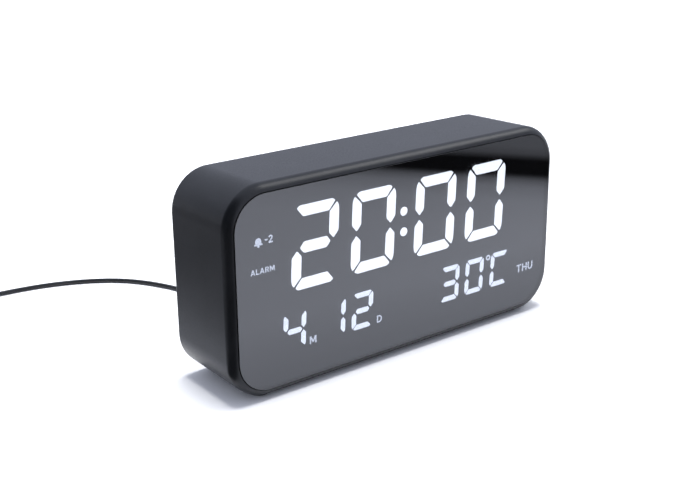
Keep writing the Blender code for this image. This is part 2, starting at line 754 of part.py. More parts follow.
def clear_of_coil(points, ring_out):
    """The points whose cord keeps clear of the coil's solid."""
    centre = Vector(COIL_CENTRE)
    room = ring_out + CORD_D / 2 + GAP
    return [p for p in points if (p.xy - centre).length > room]


def make_lead():
    """The supply lead: barrel plug, cord, tied coil, tail and flat plug."""
    hub = link("lead_axis", None)
    hub.location = (JACK[0], Y_COVER_OUT, JACK[1])
    x, z = JACK
    face = Y_COVER_IN + 0.0002
    tip = face - 0.009
    profile = [(0.00165, tip), (0.00175, tip + 0.0003), (0.00175, face - GAP), (0.00085, face - GAP), (0.00085, tip)]
    rings = [across(circle(r, JACK, 16), y) for r, y in profile]
    pieces = [paint(loft("plug_barrel", rings, closed=True), "#b9bcc0", 0.25, 1.0)]
    profile = [(0.0033, face), (0.0036, face + 0.0004), (0.0036, face + 0.0120), (0.0030, face + 0.0145)]
    profile += [(0.0024, face + 0.0160)]
    for i in range(4):
        y = face + 0.0168 + i * 0.0034
        radius = 0.0023 - i * 0.0002
        profile += [(radius, y), (radius, y + 0.0018), (radius - 0.0005, y + 0.0020), (radius - 0.0005, y + 0.0030)]
    profile += [(0.0015, Y_COVER_OUT + 0.0276), (0.0014, Y_COVER_OUT + 0.0280)]
    pieces.append(paint(turned("plug_body", profile, JACK, 16), "#17181a", 0.5))
    half_bundle = COIL_PITCH * (COIL_ROWS - 1) / 2 + CORD_D / 2 + 0.0001
    ring_in, ring_out = COIL_RING_R - half_bundle, COIL_RING_R + half_bundle
    low = TIE_T + GAP
    high = low + 2 * half_bundle
    route = clear_of_coil(through(LEAD_ROUTE, 2.2 * CORD_D), ring_out)
    pieces.append(paint(tube("lead_cord", route, CORD_D / 2), "#17181a", 0.5))
    soft = 0.0009
    section = [(ring_out - soft, low), (ring_out, low + soft), (ring_out, high - soft), (ring_out - soft, high)]
    section += [(ring_in + soft, high), (ring_in, high - soft), (ring_in, low + soft), (ring_in + soft, low)]
    rings = [flat(circle(r, COIL_CENTRE, 32), h) for r, h in section]
    pieces.append(paint(loft("lead_coil", rings, closed=True), "#17181a", 0.5))
    tie_x = COIL_CENTRE[0]
    middle = half_bundle + 2 * GAP
    spans = (COIL_CENTRE[1] - COIL_RING_R, (low + high) / 2)
    rings = []
    for side, grow in ((-1, 0.0), (-1, TIE_T), (1, TIE_T), (1, 0.0)):
        reach = middle + grow
        outline = rounded(reach, half_bundle + GAP + grow, 0.0009 + grow, spans, 3)
        rings.append([(tie_x + side * 0.0017, u, v) for u, v in outline])
    pieces.append(paint(loft("coil_tie", rings, closed=True), "#101112", 0.6))
    tail = clear_of_coil(through(TAIL_ROUTE, 2.0 * CORD_D), ring_out)
    pieces.append(paint(tube("lead_tail", tail, CORD_D / 2), "#17181a", 0.5))
    pieces += make_usb_plug()
    for piece in pieces:
        piece.parent = hub
        piece.location = -hub.location


def make_usb_plug():
    """The flat plug at the lead's far end, lying on the table: moulded grip and metal shell."""
    z = 0.0036
    centre = (USB_X, z)
    sizes = [(0.0016, 0.0016, 0.0), (0.0022, 0.0020, -0.0050), (0.0040, 0.0028, -0.0070)]
    sizes += [(0.0055, 0.0034, -0.0095), (0.0055, 0.0034, -0.0250), (0.0052, 0.0031, -0.0256)]
    sizes += [(0.0050, 0.0009, -0.0256), (0.0050, 0.0009, -0.0330)]
    rings = []
    for half_w, half_h, along in sizes:
        shift = 0.0009 if half_h < 0.001 else 0.0
        outline = rounded(half_w, half_h, 0.8 * min(half_w, half_h), (centre[0], z + shift), 3)
        rings.append(across(outline, USB_Y + along))
    grip = paint(loft("usb_plug_grip", rings), "#17181a", 0.5)
    near, far = USB_Y - 0.0256 - GAP, USB_Y - 0.0376
    shell = []
    for half_w, half_h, y in (
        (0.0060, 0.00225, near),
        (0.0060, 0.00225, far),
        (0.0056, 0.0019, far),
        (0.0056, 0.0019, near),
    ):
        shell.append(across(rounded(half_w, half_h, 0.0004, centre, 2), y))
    return [grip, paint(loft("usb_plug_shell", shell, closed=True), "#c4c7cb", 0.25, 1.0)]


for leftover in list(bpy.data.objects):
    bpy.data.objects.remove(leftover)
make_casing()
make_lens()
board_back = make_display()
make_board_parts(board_back)
make_rear_cover()
key_board_front = make_keys()
make_ribbon(board_back, key_board_front)
make_speaker()
make_jack_and_sensor()
make_battery_door()
make_batteries()
make_screws_and_feet()
make_lead()
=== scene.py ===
from functools import partial
from math import cos, pi, radians, sin, sqrt

import bmesh
import bpy
from mathutils import Matrix, Vector


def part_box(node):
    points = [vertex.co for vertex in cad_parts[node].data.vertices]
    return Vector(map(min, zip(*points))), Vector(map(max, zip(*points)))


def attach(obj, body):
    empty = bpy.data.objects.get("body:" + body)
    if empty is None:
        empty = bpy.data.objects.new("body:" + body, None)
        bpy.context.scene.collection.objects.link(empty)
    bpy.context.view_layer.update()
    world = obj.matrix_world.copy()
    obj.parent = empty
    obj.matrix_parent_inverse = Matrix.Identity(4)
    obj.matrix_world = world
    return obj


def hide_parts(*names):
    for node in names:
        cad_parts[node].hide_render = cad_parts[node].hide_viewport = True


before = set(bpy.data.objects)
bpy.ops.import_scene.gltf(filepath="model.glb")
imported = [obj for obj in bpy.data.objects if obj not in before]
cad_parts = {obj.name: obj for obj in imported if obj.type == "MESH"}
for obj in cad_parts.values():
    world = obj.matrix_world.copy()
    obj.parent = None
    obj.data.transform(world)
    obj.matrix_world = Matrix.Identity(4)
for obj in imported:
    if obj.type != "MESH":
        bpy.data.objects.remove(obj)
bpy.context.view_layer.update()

scene = bpy.context.scene

# --------------------------------------
# Camera
# A 60 mm lens to the left of the clock and above it, close to level, so that
# the front, the left side and the top all show.

CAMERA_PLACE = Vector((-0.2848, -0.3448, 0.1936))
CAMERA_AIM = Vector((-0.0215, -0.0109, 0.0462))
CAMERA_ROLL = radians(-0.468)
CAMERA_LENS_MM = 60.1

camera = bpy.data.objects.new("camera", bpy.data.cameras.new("camera"))
scene.collection.objects.link(camera)
camera.data.lens = CAMERA_LENS_MM
camera.data.sensor_width = 36.0
camera.data.clip_start = 0.01
camera.data.dof.use_dof = False
aimed = (CAMERA_AIM - CAMERA_PLACE).to_track_quat("-Z", "Y").to_matrix().to_4x4()
camera.matrix_world = Matrix.Translation(CAMERA_PLACE) @ aimed @ Matrix.Rotation(CAMERA_ROLL, 4, "Z")
scene.camera = camera

# --------------------------------------
# Supply lead
# A thin round cord with a soft PVC jacket. It leaves a moulded plug behind the
# clock, droops to the table, and its spare length is wound and tied, with a
# flat plug on the end.

CORD_RADIUS = 0.001
CORD_START = ((-0.03, 0.044, 0.0135),)
LEAD_ROUTE = (
    (-0.03, 0.0473, 0.0135), (-0.03, 0.052, 0.0133), (-0.0301, 0.058, 0.0123), (-0.0304, 0.064, 0.0104),
    (-0.0308, 0.07, 0.0078), (-0.0314, 0.0765, 0.0048), (-0.0322, 0.083, 0.0026), (-0.0334, 0.09, 0.0014),
    (-0.0352, 0.097, 0.00105), (-0.0376, 0.104, 0.00105), (-0.0407, 0.111, 0.00105),
    (-0.0447, 0.118, 0.00105), (-0.05, 0.1248, 0.00105), (-0.057, 0.131, 0.00105),
    (-0.0655, 0.1362, 0.00105), (-0.0745, 0.1402, 0.00105), (-0.084, 0.1431, 0.00105),
    (-0.094, 0.1449, 0.00105), (-0.104, 0.1457, 0.0012), (-0.114, 0.1459, 0.00155), (-0.124, 0.1458, 0.0018)
)
TAIL_ROUTE = (
    (-0.1484, 0.127, 0.0078), (-0.1486, 0.123, 0.0068), (-0.1489, 0.119, 0.0054), (-0.1493, 0.115, 0.0042),
    (-0.1497, 0.111, 0.0036), (-0.15, 0.107, 0.0036), (-0.15, 0.104, 0.0036)
)
COIL_CENTRE = Vector((-0.134, 0.1315))
COIL_OUTER, COIL_INNER = 0.01415, 0.00785
COIL_PITCH = 0.0021
COIL_LAYERS = 4
COIL_BOTTOM = 0.0019
TURNS_ACROSS = 3
TURNS_UP = 5 / 12


def coil_points(steps=24):
    """The winding: three turns across each layer, then part of a turn up to the next one."""
    legs = []
    for layer in range(COIL_LAYERS):
        ends = (COIL_OUTER, COIL_INNER) if layer % 2 == 0 else (COIL_INNER, COIL_OUTER)
        height = COIL_BOTTOM + layer * COIL_PITCH
        legs.append((TURNS_ACROSS, ends, (height, height)))
        if layer < COIL_LAYERS - 1:
            legs.append((TURNS_UP, (ends[1], ends[1]), (height, height + COIL_PITCH)))
    points, turned = [], 0.25
    for turns, (r0, r1), (z0, z1) in legs:
        count = round(turns * steps)
        for i in range(count):
            share = i / count
            angle = 2 * pi * (turned + turns * share)
            radius = r0 + (r1 - r0) * share
            flat = COIL_CENTRE + Vector((cos(angle), sin(angle))) * radius
            points.append((flat.x, flat.y, z0 + (z1 - z0) * share))
        turned += turns
    points.append((COIL_CENTRE.x - COIL_OUTER, COIL_CENTRE.y, z1))
    return points


def smooth_route(points, step):
    """Points an even step apart along a smooth curve through the given ones."""
    points = [Vector(p) for p in points]
    ends = [points[0] * 2 - points[1], *points, points[-1] * 2 - points[-2]]
    fine = []
    for a, b, c, d in zip(ends, ends[1:], ends[2:], ends[3:]):
        for t in (i / 12 for i in range(12)):
            bend = (2 * a - 5 * b + 4 * c - d) * t**2 + (3 * b - a - 3 * c + d) * t**3
            fine.append(0.5 * (2 * b + (c - a) * t + bend))
    fine.append(points[-1])
    total = sum((q - p).length for p, q in zip(fine, fine[1:]))
    count = round(total / step)
    even, walked = [fine[0]], 0.0
    for p, q in zip(fine, fine[1:]):
        length = (q - p).length
        while len(even) < count and walked + length >= len(even) * total / count:
            even.append(p.lerp(q, (len(even) * total / count - walked) / length))
        walked += length
    return even + [fine[-1]]


def show(name, mesh):
    """A new object in the scene."""
    piece = bpy.data.objects.new(name, mesh)
    scene.collection.objects.link(piece)
    return piece


def baked(piece):
    """Turn what the piece's modifiers make into its own plain mesh."""
    graph = bpy.context.evaluated_depsgraph_get()
    mesh = bpy.data.meshes.new_from_object(
        piece.evaluated_get(graph), preserve_all_data_layers=True, depsgraph=graph
    )
    mesh.name = piece.name
    piece.modifiers.clear()
    piece.data = mesh
    return piece


# The shading weights' layer, its strongest value, and the least area in square metres that takes it.
STRENGTH, STRONG, LARGE_FLAT = "__mod_weightednormals_faceweight", 16384, 0.0001
# The distance in metres at which points merge, and how alike two flat faces' directions are.
MERGE, SAME_WAY = 1e-6, 0.9995


def closed(piece, sharp_angle=34):
    """Merge the piece's doubles, turn its faces out, and shade its round parts smooth and its flat ones flat."""
    if piece.modifiers:
        baked(piece)
    shape = bmesh.new()
    shape.from_mesh(piece.data)
    bmesh.ops.remove_doubles(shape, verts=shape.verts, dist=MERGE)
    open_edges = [edge for edge in shape.edges if len(edge.link_faces) == 1]
    bmesh.ops.holes_fill(shape, edges=open_edges, sides=4)
    bmesh.ops.recalc_face_normals(shape, faces=shape.faces)
    strength = shape.faces.layers.int.new(STRENGTH)
    unseen = set(shape.faces)
    while unseen:
        flat = [unseen.pop()]
        for face in flat:
            for other in {other for edge in face.edges for other in edge.link_faces} & unseen:
                if face.normal.dot(other.normal) > SAME_WAY:
                    unseen.remove(other)
                    flat.append(other)
        if sum(face.calc_area() for face in flat) > LARGE_FLAT:
            for face in flat:
                face[strength] = STRONG
    shape.to_mesh(piece.data)
    shape.free()
    piece.data.shade_smooth()
    piece.data.set_sharp_from_angle(angle=radians(sharp_angle))
    weighted = piece.modifiers.new("flat faces stay flat", "WEIGHTED_NORMAL")
    weighted.keep_sharp = weighted.use_face_influence = True
    baked(piece)
    piece.data.attributes.remove(piece.data.attributes[STRENGTH])
    return piece


def loft(name, rings, ring_shaped=False):
    """A skin that joins the rings in turn, capped at both ends or closed on itself."""
    count = len(rings[0])
    total = len(rings) * count
    faces = []
    for i in range(len(rings) if ring_shaped else len(rings) - 1):
        a, b = i * count, (i + 1) * count % total
        for j in range(count):
            k = (j + 1) % count
            faces.append((a + j, a + k, b + k, b + j))
    if not ring_shaped:
        faces += [tuple(range(count)), tuple(range(total - count, total))]
    mesh = bpy.data.meshes.new(name)
    mesh.from_pydata([tuple(point) for ring in rings for point in ring], [], faces)
    return show(name, mesh)


def circle(radius, centre=(0.0, 0.0), steps=48):
    """A circle's points, anticlockwise."""
    angles = (2 * pi * i / steps for i in range(steps))
    return [(centre[0] + radius * cos(a), centre[1] + radius * sin(a)) for a in angles]


def rounded(half_w, half_h, radius, centre=(0.0, 0.0), steps=16):
    """A rounded rectangle's points, anticlockwise."""
    points = []
    for quarter, (sx, sy) in enumerate(((1, 1), (-1, 1), (-1, -1), (1, -1))):
        for i in range(steps + 1):
            angle = (quarter + i / steps) * pi / 2
            u = sx * (half_w - radius) + radius * cos(angle)
            v = sy * (half_h - radius) + radius * sin(angle)
            points.append((centre[0] + u, centre[1] + v))
    return points


def stood(points, y):
    """An outline drawn in X and Z, stood at depth y."""
    return [(u, y, v) for u, v in points]


def lathe(name, profile, centre, steps=48, ring_shaped=False):
    """A body turned about a line along Y, from pairs of radius and depth."""
    rings = [stood(circle(radius, centre, steps), y) for radius, y in profile]
    return loft(name, rings, ring_shaped)


def tube(name, path, radius, sides=12):
    """A round cord along a path, closed at its ends."""
    rings, across = [], Vector((0, 0, 1))
    for i, point in enumerate(path):
        along = (path[min(i + 1, len(path) - 1)] - path[max(i - 1, 0)]).normalized()
        across = (across - along * across.dot(along)).normalized()
        other = along.cross(across)
        rings.append([point + (across * u + other * v) * radius for u, v in circle(1, (0, 0), sides)])
    return loft(name, rings)


def linear(hex_colour):
    """An sRGB hex colour as linear red, green, blue and alpha."""
    values = [int(hex_colour[i : i + 2], 16) / 255 for i in (1, 3, 5)]
    return [v / 12.92 if v <= 0.04045 else ((v + 0.055) / 1.055) ** 2.4 for v in values] + [1.0]


def add_node(tree, kind, numbered={}, **named):
    """Add a node, whose kind is its type less the family's name. A small name is one of its settings
    and a capital one an input, which is given a value, a hex colour, a socket, a node for its first
    output in use, or a list of nodes."""
    family = "GeometryNode" if hasattr(bpy.types, "GeometryNode" + kind) else "ShaderNode"
    node = tree.nodes.new(family + kind)
    for name, value in named.items():
        if name[0].islower():
            setattr(node, name, value)
    inputs = {name.replace("_", " "): value for name, value in named.items() if name[0].isupper()}
    for name, value in (inputs | numbered).items():
        socket, sources = node.inputs[name], value if isinstance(value, list) else [value]
        if isinstance(value, str) and value[:1] == "#":
            socket.default_value = linear(value)
        elif isinstance(sources[0], (bpy.types.Node, bpy.types.NodeSocket)):
            for source in sources:
                if isinstance(source, bpy.types.Node):
                    source = next(output for output in source.outputs if output.enabled)
                tree.links.new(source, socket)
        else:
            socket.default_value = value
    return node


def new_material(name):
    """A material with an empty tree, the tree's own add_node, and the place on the piece in metres."""
    material = bpy.data.materials.new(name)
    material.use_nodes = True
    material.node_tree.nodes.clear()
    add = partial(add_node, material.node_tree)
    return material, add, add("TexCoord").outputs["Object"]


def moulded(name, dark, light, roughness, grain_mm, relief_mm, patch_mm=14.0):
    """Moulded plastic or rubber. Its spark-eroded mould leaves an even fine grain that breaks up
    the gloss, and handling leaves broad patches a little lighter than the rest."""
    material, add, place = new_material(name)
    patches = add("TexNoise", Vector=place, Scale=1000 / patch_mm, Detail=5.0)
    spread = add("MapRange", Value=patches, From_Min=0.35, From_Max=0.65, interpolation_type="SMOOTHSTEP")
    shade = add("Mix", Factor=spread, A=dark, B=light, data_type="RGBA")
    grain = add("TexNoise", Vector=place, Scale=1000 / grain_mm, Detail=2.0, Roughness=0.6)
    gloss = add(
        "MapRange", Value=grain, From_Min=0.3, From_Max=0.7, To_Min=roughness - 0.05,
        To_Max=roughness + 0.05
    )
    relief = add("Bump", Height=grain, Distance=relief_mm / 1000)
    shader = add("BsdfPrincipled", Base_Color=shade, Roughness=gloss, Normal=relief, IOR=1.5)
    add("OutputMaterial", Surface=shader)
    return material


def plated(name, colour, roughness, streak_mm):
    """Plated or drawn metal. Fine streaks from the tool run round or along it and stretch the highlights."""
    material, add, place = new_material(name)
    grain = add("Mapping", Vector=place, Scale=(1.0, 0.06, 1.0))
    streaks = add("TexNoise", Vector=grain, Scale=1000 / streak_mm, Detail=3.0)
    gloss = add("MapRange", Value=streaks, To_Min=roughness - 0.08, To_Max=roughness + 0.12)
    tone = add(
        "Mix", Factor=streaks, A=colour, B=[0.8 * c for c in linear(colour)[:3]] + [1.0], data_type="RGBA"
    )
    relief = add("Bump", Height=streaks, Distance=0.00001)
    shader = add("BsdfPrincipled", Base_Color=tone, Roughness=gloss, Normal=relief, Metallic=1.0)
    add("OutputMaterial", Surface=shader)
    return material


def dress(piece, material, body, slot, *nodes):
    """Give a finished piece its material and body, and let it stand for its CAD nodes. The slot is not used."""
    if material is not None:
        piece.data.materials.clear()
        piece.data.materials.append(material)
    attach(piece, body)
    if nodes:
        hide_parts(*nodes)
    return piece


# Extruded PVC: near black, soft satin, faintly wavy from the die.
jacket_pvc = moulded("soft_pvc_jacket", "#131416", "#1b1c1f", 0.42, 0.9, 0.02)
# The same PVC from a mould: a little duller.
moulded_pvc = moulded("moulded_pvc", "#16171a", "#1e1f22", 0.5, 0.5, 0.02)
nickel = plated("nickel_plate", "#c4c2bc", 0.24, 0.25)

route = smooth_route([*CORD_START, *LEAD_ROUTE, *coil_points(), *TAIL_ROUTE], 0.0016)
cord = closed(tube("supply_cord", route, CORD_RADIUS), 60)
dress(cord, jacket_pvc, "supply_lead", "lead_black", "lead_cord", "lead_coil", "lead_tail")


def middle(name):
    """The middle of a CAD node's box."""
    return [(a + b) / 2 for a, b in zip(*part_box(name))]


def half(name):
    """Half the size of a CAD node's box, along each axis."""
    return [(b - a) / 2 for a, b in zip(*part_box(name))]


jack_x, _, jack_z = middle("plug_body")
plug_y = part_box("plug_body")[0].y
GRIP_PROFILE = (
    (0.003, 0), (0.0034, 0.00015), (0.0036, 0.0006), (0.0036, 0.0022), (0.0033, 0.0025), (0.0033, 0.0031),
    (0.0036, 0.0034), (0.0036, 0.0112), (0.00355, 0.012), (0.0034, 0.0132), (0.003, 0.0146),
    (0.0025, 0.0156), (0.0021, 0.0162), (0.0018, 0.0172), (0.00135, 0.0296), (0.0012, 0.03)
)
moulded_plug = closed(lathe("moulded_plug", [(r, plug_y + y) for r, y in GRIP_PROFILE], (jack_x, jack_z)))
dress(moulded_plug, moulded_pvc, "supply_lead", "lead_black", "plug_body")


def new_tree(name, **sockets):
    """A node tree with these named inputs and one geometry output, its own add_node, and its inputs."""
    tree = bpy.data.node_groups.new(name, "GeometryNodeTree")
    for label, kind in sockets.items():
        tree.interface.new_socket(label.replace("_", " "), in_out="INPUT", socket_type="NodeSocket" + kind)
    tree.interface.new_socket("Geometry", in_out="OUTPUT", socket_type="NodeSocketGeometry")
    return tree, partial(add_node, tree), tree.nodes.new("NodeGroupInput").outputs


def end_tree(tree, shape, material):
    """End the tree in real geometry with its material."""
    real = add_node(tree, "RealizeInstances", Geometry=shape)
    painted = add_node(tree, "SetMaterial", Geometry=real, Material=material)
    tree.links.new(painted.outputs[0], tree.nodes.new("NodeGroupOutput").inputs[0])


def grown(name, tree, points=((0.0, 0.0, 0.0),), **values):
    """The plain mesh that a tree makes from these points and input values."""
    mesh = bpy.data.meshes.new(name)
    mesh.from_pydata(points, [], [])
    piece = show(name, mesh)
    step = piece.modifiers.new(tree.name, "NODES")
    step.node_group = tree
    for socket in tree.interface.items_tree:
        label = socket.name.replace(" ", "_")
        if socket.in_out == "INPUT" and label in values:
            step[socket.identifier] = values[label]
    return closed(piece)


# The strain relief's ribs: rounded rings that shrink towards the cord.
rib_tree, add, given = new_tree(
    "strain_relief_ribs", Start="Vector", Count="Int", Pitch="Float", Radius="Float", Width="Float",
    Shrink="Float", Finish="Material"
)
rib_step = add("CombineXYZ", Y=given["Pitch"])
rib_line = add("MeshLine", Count=given["Count"], Start_Location=given["Start"], Offset=rib_step)
rib_circle = add("CurvePrimitiveCircle", Resolution=40, Radius=given["Radius"])
rib_section = add("CurvePrimitiveQuadrilateral", Width=0.0014, Height=given["Width"])
rib_corner = add("FilletCurve", Curve=rib_section, Count=4, Radius=0.0004, mode="POLY")
rib = add("CurveToMesh", Curve=rib_circle, Profile_Curve=rib_corner)
rib_scale = add("Math", {0: given["Shrink"], 1: add("InputIndex")}, operation="POWER")
ribs = add("InstanceOnPoints", Points=rib_line, Instance=rib, Rotation=(pi / 2, 0.0, 0.0), Scale=rib_scale)
end_tree(rib_tree, ribs, given["Finish"])
relief_ribs = grown(
    "strain_relief_ribs", rib_tree, Start=(jack_x, plug_y + 0.0182, jack_z), Count=5, Pitch=0.0024,
    Radius=0.0016, Width=0.0015, Shrink=0.93, Finish=moulded_pvc
)
dress(relief_ribs, None, "supply_lead", "lead_black")

barrel_low, barrel_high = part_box("plug_barrel")
barrel_y, barrel_r = barrel_low.y, (barrel_high.x - barrel_low.x) / 2
BARREL_PROFILE = (
    (0.00085, 0.0004), (0.001, 0), (barrel_r - 0.00025, 0), (barrel_r, 0.00035), (barrel_r, 0.0062),
    (barrel_r - 0.00015, 0.0064), (barrel_r - 0.00015, 0.007), (barrel_r, 0.0072),
    (barrel_r, barrel_high.y - barrel_y), (0.00085, barrel_high.y - barrel_y)
)
barrel = lathe("barrel_contact", [(r, barrel_y + y) for r, y in BARREL_PROFILE], (jack_x, jack_z), 40, True)
dress(closed(barrel), nickel, "supply_lead", "contact_nickel", "plug_barrel")

# The tie: a strip of hook-and-loop fabric round the winding's near side, its end lapped over itself.
tie_low, tie_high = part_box("coil_tie")
_, tie_y, tie_z = middle("coil_tie")
_, tie_half_y, tie_half_z = half("coil_tie")
TIE_THICK = 0.0005


def tie_ring(x, less):
    """The tie's outline round the winding at one side, moved in by less."""
    outline = rounded(tie_half_y - less, tie_half_z - less, 0.0014, (tie_y, tie_z), 6)
    return [(x, u, v) for u, v in outline]


tie_steps = (
    (tie_low.x, TIE_THICK), (tie_low.x, 0.0001), (tie_low.x + 0.0001, 0.0), (tie_high.x - 0.0001, 0.0),
    (tie_high.x, 0.0001), (tie_high.x, TIE_THICK)
)
tie_rings = [tie_ring(x, less) for x, less in tie_steps]


def celled(name, per_metre, middle_hex, edge_hex, relief_m, **finish):
    """A material of small cells or yarns, each tinted and raised from its middle to its edge."""
    material, add, place = new_material(name)
    cells = add("TexVoronoi", Vector=place, Scale=per_metre)
    tone = add("Mix", Factor=cells, A=middle_hex, B=edge_hex, data_type="RGBA")
    relief = add("Bump", Height=cells, Distance=relief_m)
    shader = add("BsdfPrincipled", Base_Color=tone, Normal=relief, **finish)
    add("OutputMaterial", Surface=shader)
    return material


# A 0.5 mm weave of crossing yarns, dull and slightly fuzzy.
fuzz = {"Roughness": 0.85, "Sheen_Weight": 0.3, "Sheen_Roughness": 0.5}
woven = celled("hook_and_loop_strip", 2200.0, "#232427", "#0e0f10", 0.0002, **fuzz)
tie = closed(loft("winding_tie", tie_rings, True))
dress(tie, woven, "supply_lead", "tie_black", "coil_tie")

# The flat plug: a PVC grip and a folded steel shell with two windows.
usb_x, _, usb_z = middle("usb_plug_grip")
usb_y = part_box("usb_plug_grip")[1].y
USB_GRIP = (
    (0.0013, 0.0013, 0), (0.0016, 0.0016, -0.0004), (0.0021, 0.0019, -0.0046), (0.003, 0.0024, -0.006),
    (0.0042, 0.0029, -0.0072), (0.0051, 0.0032, -0.0085), (0.0055, 0.0034, -0.0104),
    (0.0055, 0.0034, -0.0243), (0.0053, 0.0032, -0.0253), (0.005, 0.003, -0.0256)
)
usb_rings = [
    stood(rounded(w, h, 0.8 * min(w, h), (usb_x, usb_z), 10), usb_y + along) for w, h, along in USB_GRIP
]
usb_grip = closed(loft("flat_plug_grip", usb_rings))
dress(usb_grip, moulded_pvc, "supply_lead", "lead_black", "usb_plug_grip")


def block(name, low, high):
    """A plain block between two corners, for cutting or joining."""
    (x0, y0, z0), (x1, y1, z1) = low, high
    base = ((x0, y0), (x1, y0), (x1, y1), (x0, y1))
    return loft(name, [[(x, y, z) for x, y in base] for z in (z0, z1)])


def joined(name, parts):
    """One object that holds several bodies."""
    shape = bmesh.new()
    for part in parts:
        shape.from_mesh(part.data)
        bpy.data.objects.remove(part)
    mesh = bpy.data.meshes.new(name)
    shape.to_mesh(mesh)
    shape.free()
    return show(name, mesh)


def carved(piece, *steps):
    """Join tools to the piece or cut them away, in turn, and remove the tools."""
    for operation, tool in steps:
        closed(tool)
        step = piece.modifiers.new(tool.name, "BOOLEAN")
        step.operation, step.object, step.solver = operation, tool, "EXACT"
        tool.hide_render = True
    baked(piece)
    for _, tool in steps:
        bpy.data.objects.remove(tool)
    return piece


shell_low, shell_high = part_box("usb_plug_shell")
shell_half_w, _, shell_half_h = half("usb_plug_shell")
SHELL_T = 0.00035
shell_rings = []
for less, y in (
    (0.0, shell_high.y), (0.0, shell_low.y + 0.0001), (0.0001, shell_low.y), (SHELL_T, shell_low.y),
    (SHELL_T, shell_high.y)
):
    outline = rounded(shell_half_w - less, shell_half_h - less, 0.0005, (usb_x, usb_z), 6)
    shell_rings.append(stood(outline, y))
usb_shell = closed(loft("flat_plug_shell", shell_rings, True))
shell_windows = []
for x in (usb_x - 0.0026, usb_x + 0.0026):
    corners = (x - 0.001, shell_low.y + 0.0052, 0.0), (x + 0.001, shell_low.y + 0.0074, 0.02)
    shell_windows.append(block("window", *corners))
carved(usb_shell, ("DIFFERENCE", joined("shell_windows", shell_windows)))
dress(closed(usb_shell), nickel, "supply_lead", "contact_nickel", "usb_plug_shell")
tongue = block(
    "flat_plug_tongue", (usb_x - 0.005, shell_low.y + 0.0006, usb_z - 0.0001),
    (usb_x + 0.005, shell_high.y - 0.0002, usb_z + 0.0016)
)
tongue_step = tongue.modifiers.new("soft edges", "BEVEL")
tongue_step.width, tongue_step.segments = 0.0002, 2
tongue_plastic = moulded("tongue_plastic", "#cfcfc9", "#dcdcd6", 0.4, 0.5, 0.005)
dress(closed(tongue), tongue_plastic, "supply_lead", "header_cream")

# --------------------------------------
# Casing
# One moulding in matt black ABS: a shell with a rounded front edge, a seat for
# the lens, an open back and four screw posts, drafted to leave its mould.

mid_z = middle("casing")[2]
CASE_HALF_W, _, CASE_HALF_H = half("casing")
CORNER_R = 0.0166
FRONT_R = 0.0043
REAR_R = 0.0012
WALL = 0.0022
DRAFT = 0.0234
front_y, rear_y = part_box("front_lens")[0].y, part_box("casing")[1].y
ledge_y, ledge_back_y = front_y + 0.0031, front_y + 0.0049
LIP_INSET = 0.00285
WINDOW_INSET, WINDOW_R = 0.007, 0.016
FINE = 20


def inside(less, radius):
    """An outline inside the casing's by less, with this corner radius."""
    return rounded(CASE_HALF_W - less, CASE_HALF_H - less, radius, (0.0, mid_z), FINE)


def case_ring(y, inset=0.0, drafted=True):
    """The casing's rounded outline at depth y, moved in by inset."""
    less = inset + (DRAFT * max(0.0, y - front_y - FRONT_R) if drafted else 0.0)
    return stood(inside(less, CORNER_R - less), y)


def edge_arc(radius, start, end, count):
    """Pairs of inset and depth round a quarter edge, from start to end in degrees."""
    angles = [radians(start + (end - start) * i / count) for i in range(count + 1)]
    return [(radius * (1 - cos(a)), radius * (1 - sin(a))) for a in angles]


case_rings = [case_ring(front_y + 0.0008, LIP_INSET, False), case_ring(front_y + 0.0005, LIP_INSET, False)]
case_rings += [case_ring(front_y + y, inset, False) for inset, y in edge_arc(FRONT_R, 70.0, 0.0, 12)]
case_rings += [case_ring(rear_y - y, inset) for inset, y in edge_arc(REAR_R, 0.0, 90.0, 5)]
case_rings += [case_ring(rear_y, WALL), case_ring(ledge_back_y, WALL)]
window_ring = inside(WINDOW_INSET, WINDOW_R)
case_rings += [stood(window_ring, ledge_back_y), stood(window_ring, ledge_y)]
case_rings += [case_ring(ledge_y, LIP_INSET, False)]
case = loft("casing_shell", case_rings, True)

screw_nodes = [f"cover_screw_{i}" for i in (1, 2, 3, 4)]
screw_places = [middle(name)[::2] for name in screw_nodes]
foot_nodes = [f"foot_{row}_{side}" for row in ("front", "rear") for side in ("left", "right")]
foot_places = [middle(name)[:2] for name in foot_nodes]
POST_R, POST_HOLE_R, POST_HOLE_DEEP = 0.0025, 0.0014, 0.009
FOOT_POCKET_R, FOOT_POCKET_TOP = 0.0043, 0.00265
panel_out_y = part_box("rear_cover")[1].y
panel_in_y = panel_out_y - 0.0022
post_profile = (
    (POST_R, ledge_back_y - 0.0006), (POST_R, panel_in_y - 0.0003), (POST_HOLE_R, panel_in_y - 0.0003),
    (POST_HOLE_R, panel_in_y - POST_HOLE_DEEP)
)
posts = [lathe("post", post_profile, place, 24) for place in screw_places]
pockets = [
    loft("pocket", [[(x, y, z) for x, y in circle(FOOT_POCKET_R, place, 40)] for z in (-0.001, FOOT_POCKET_TOP)])
    for place in foot_places
]
carved(case, ("UNION", joined("posts", posts)), ("DIFFERENCE", joined("foot_pockets", pockets)))
# ABS with a fine matt grain: soft broad highlights, a cool near-black.
case_abs = moulded("matt_black_abs", "#0c0e12", "#111317", 0.35, 0.5, 0.012)
dress(closed(case), case_abs, "clock", "housing_black", "casing")

# --------------------------------------
# Lens
# A 2 mm sheet of smoked acrylic with a half-mirror film, cut to the opening
# with eased edges and stuck to its seat with a ring of black foam tape.

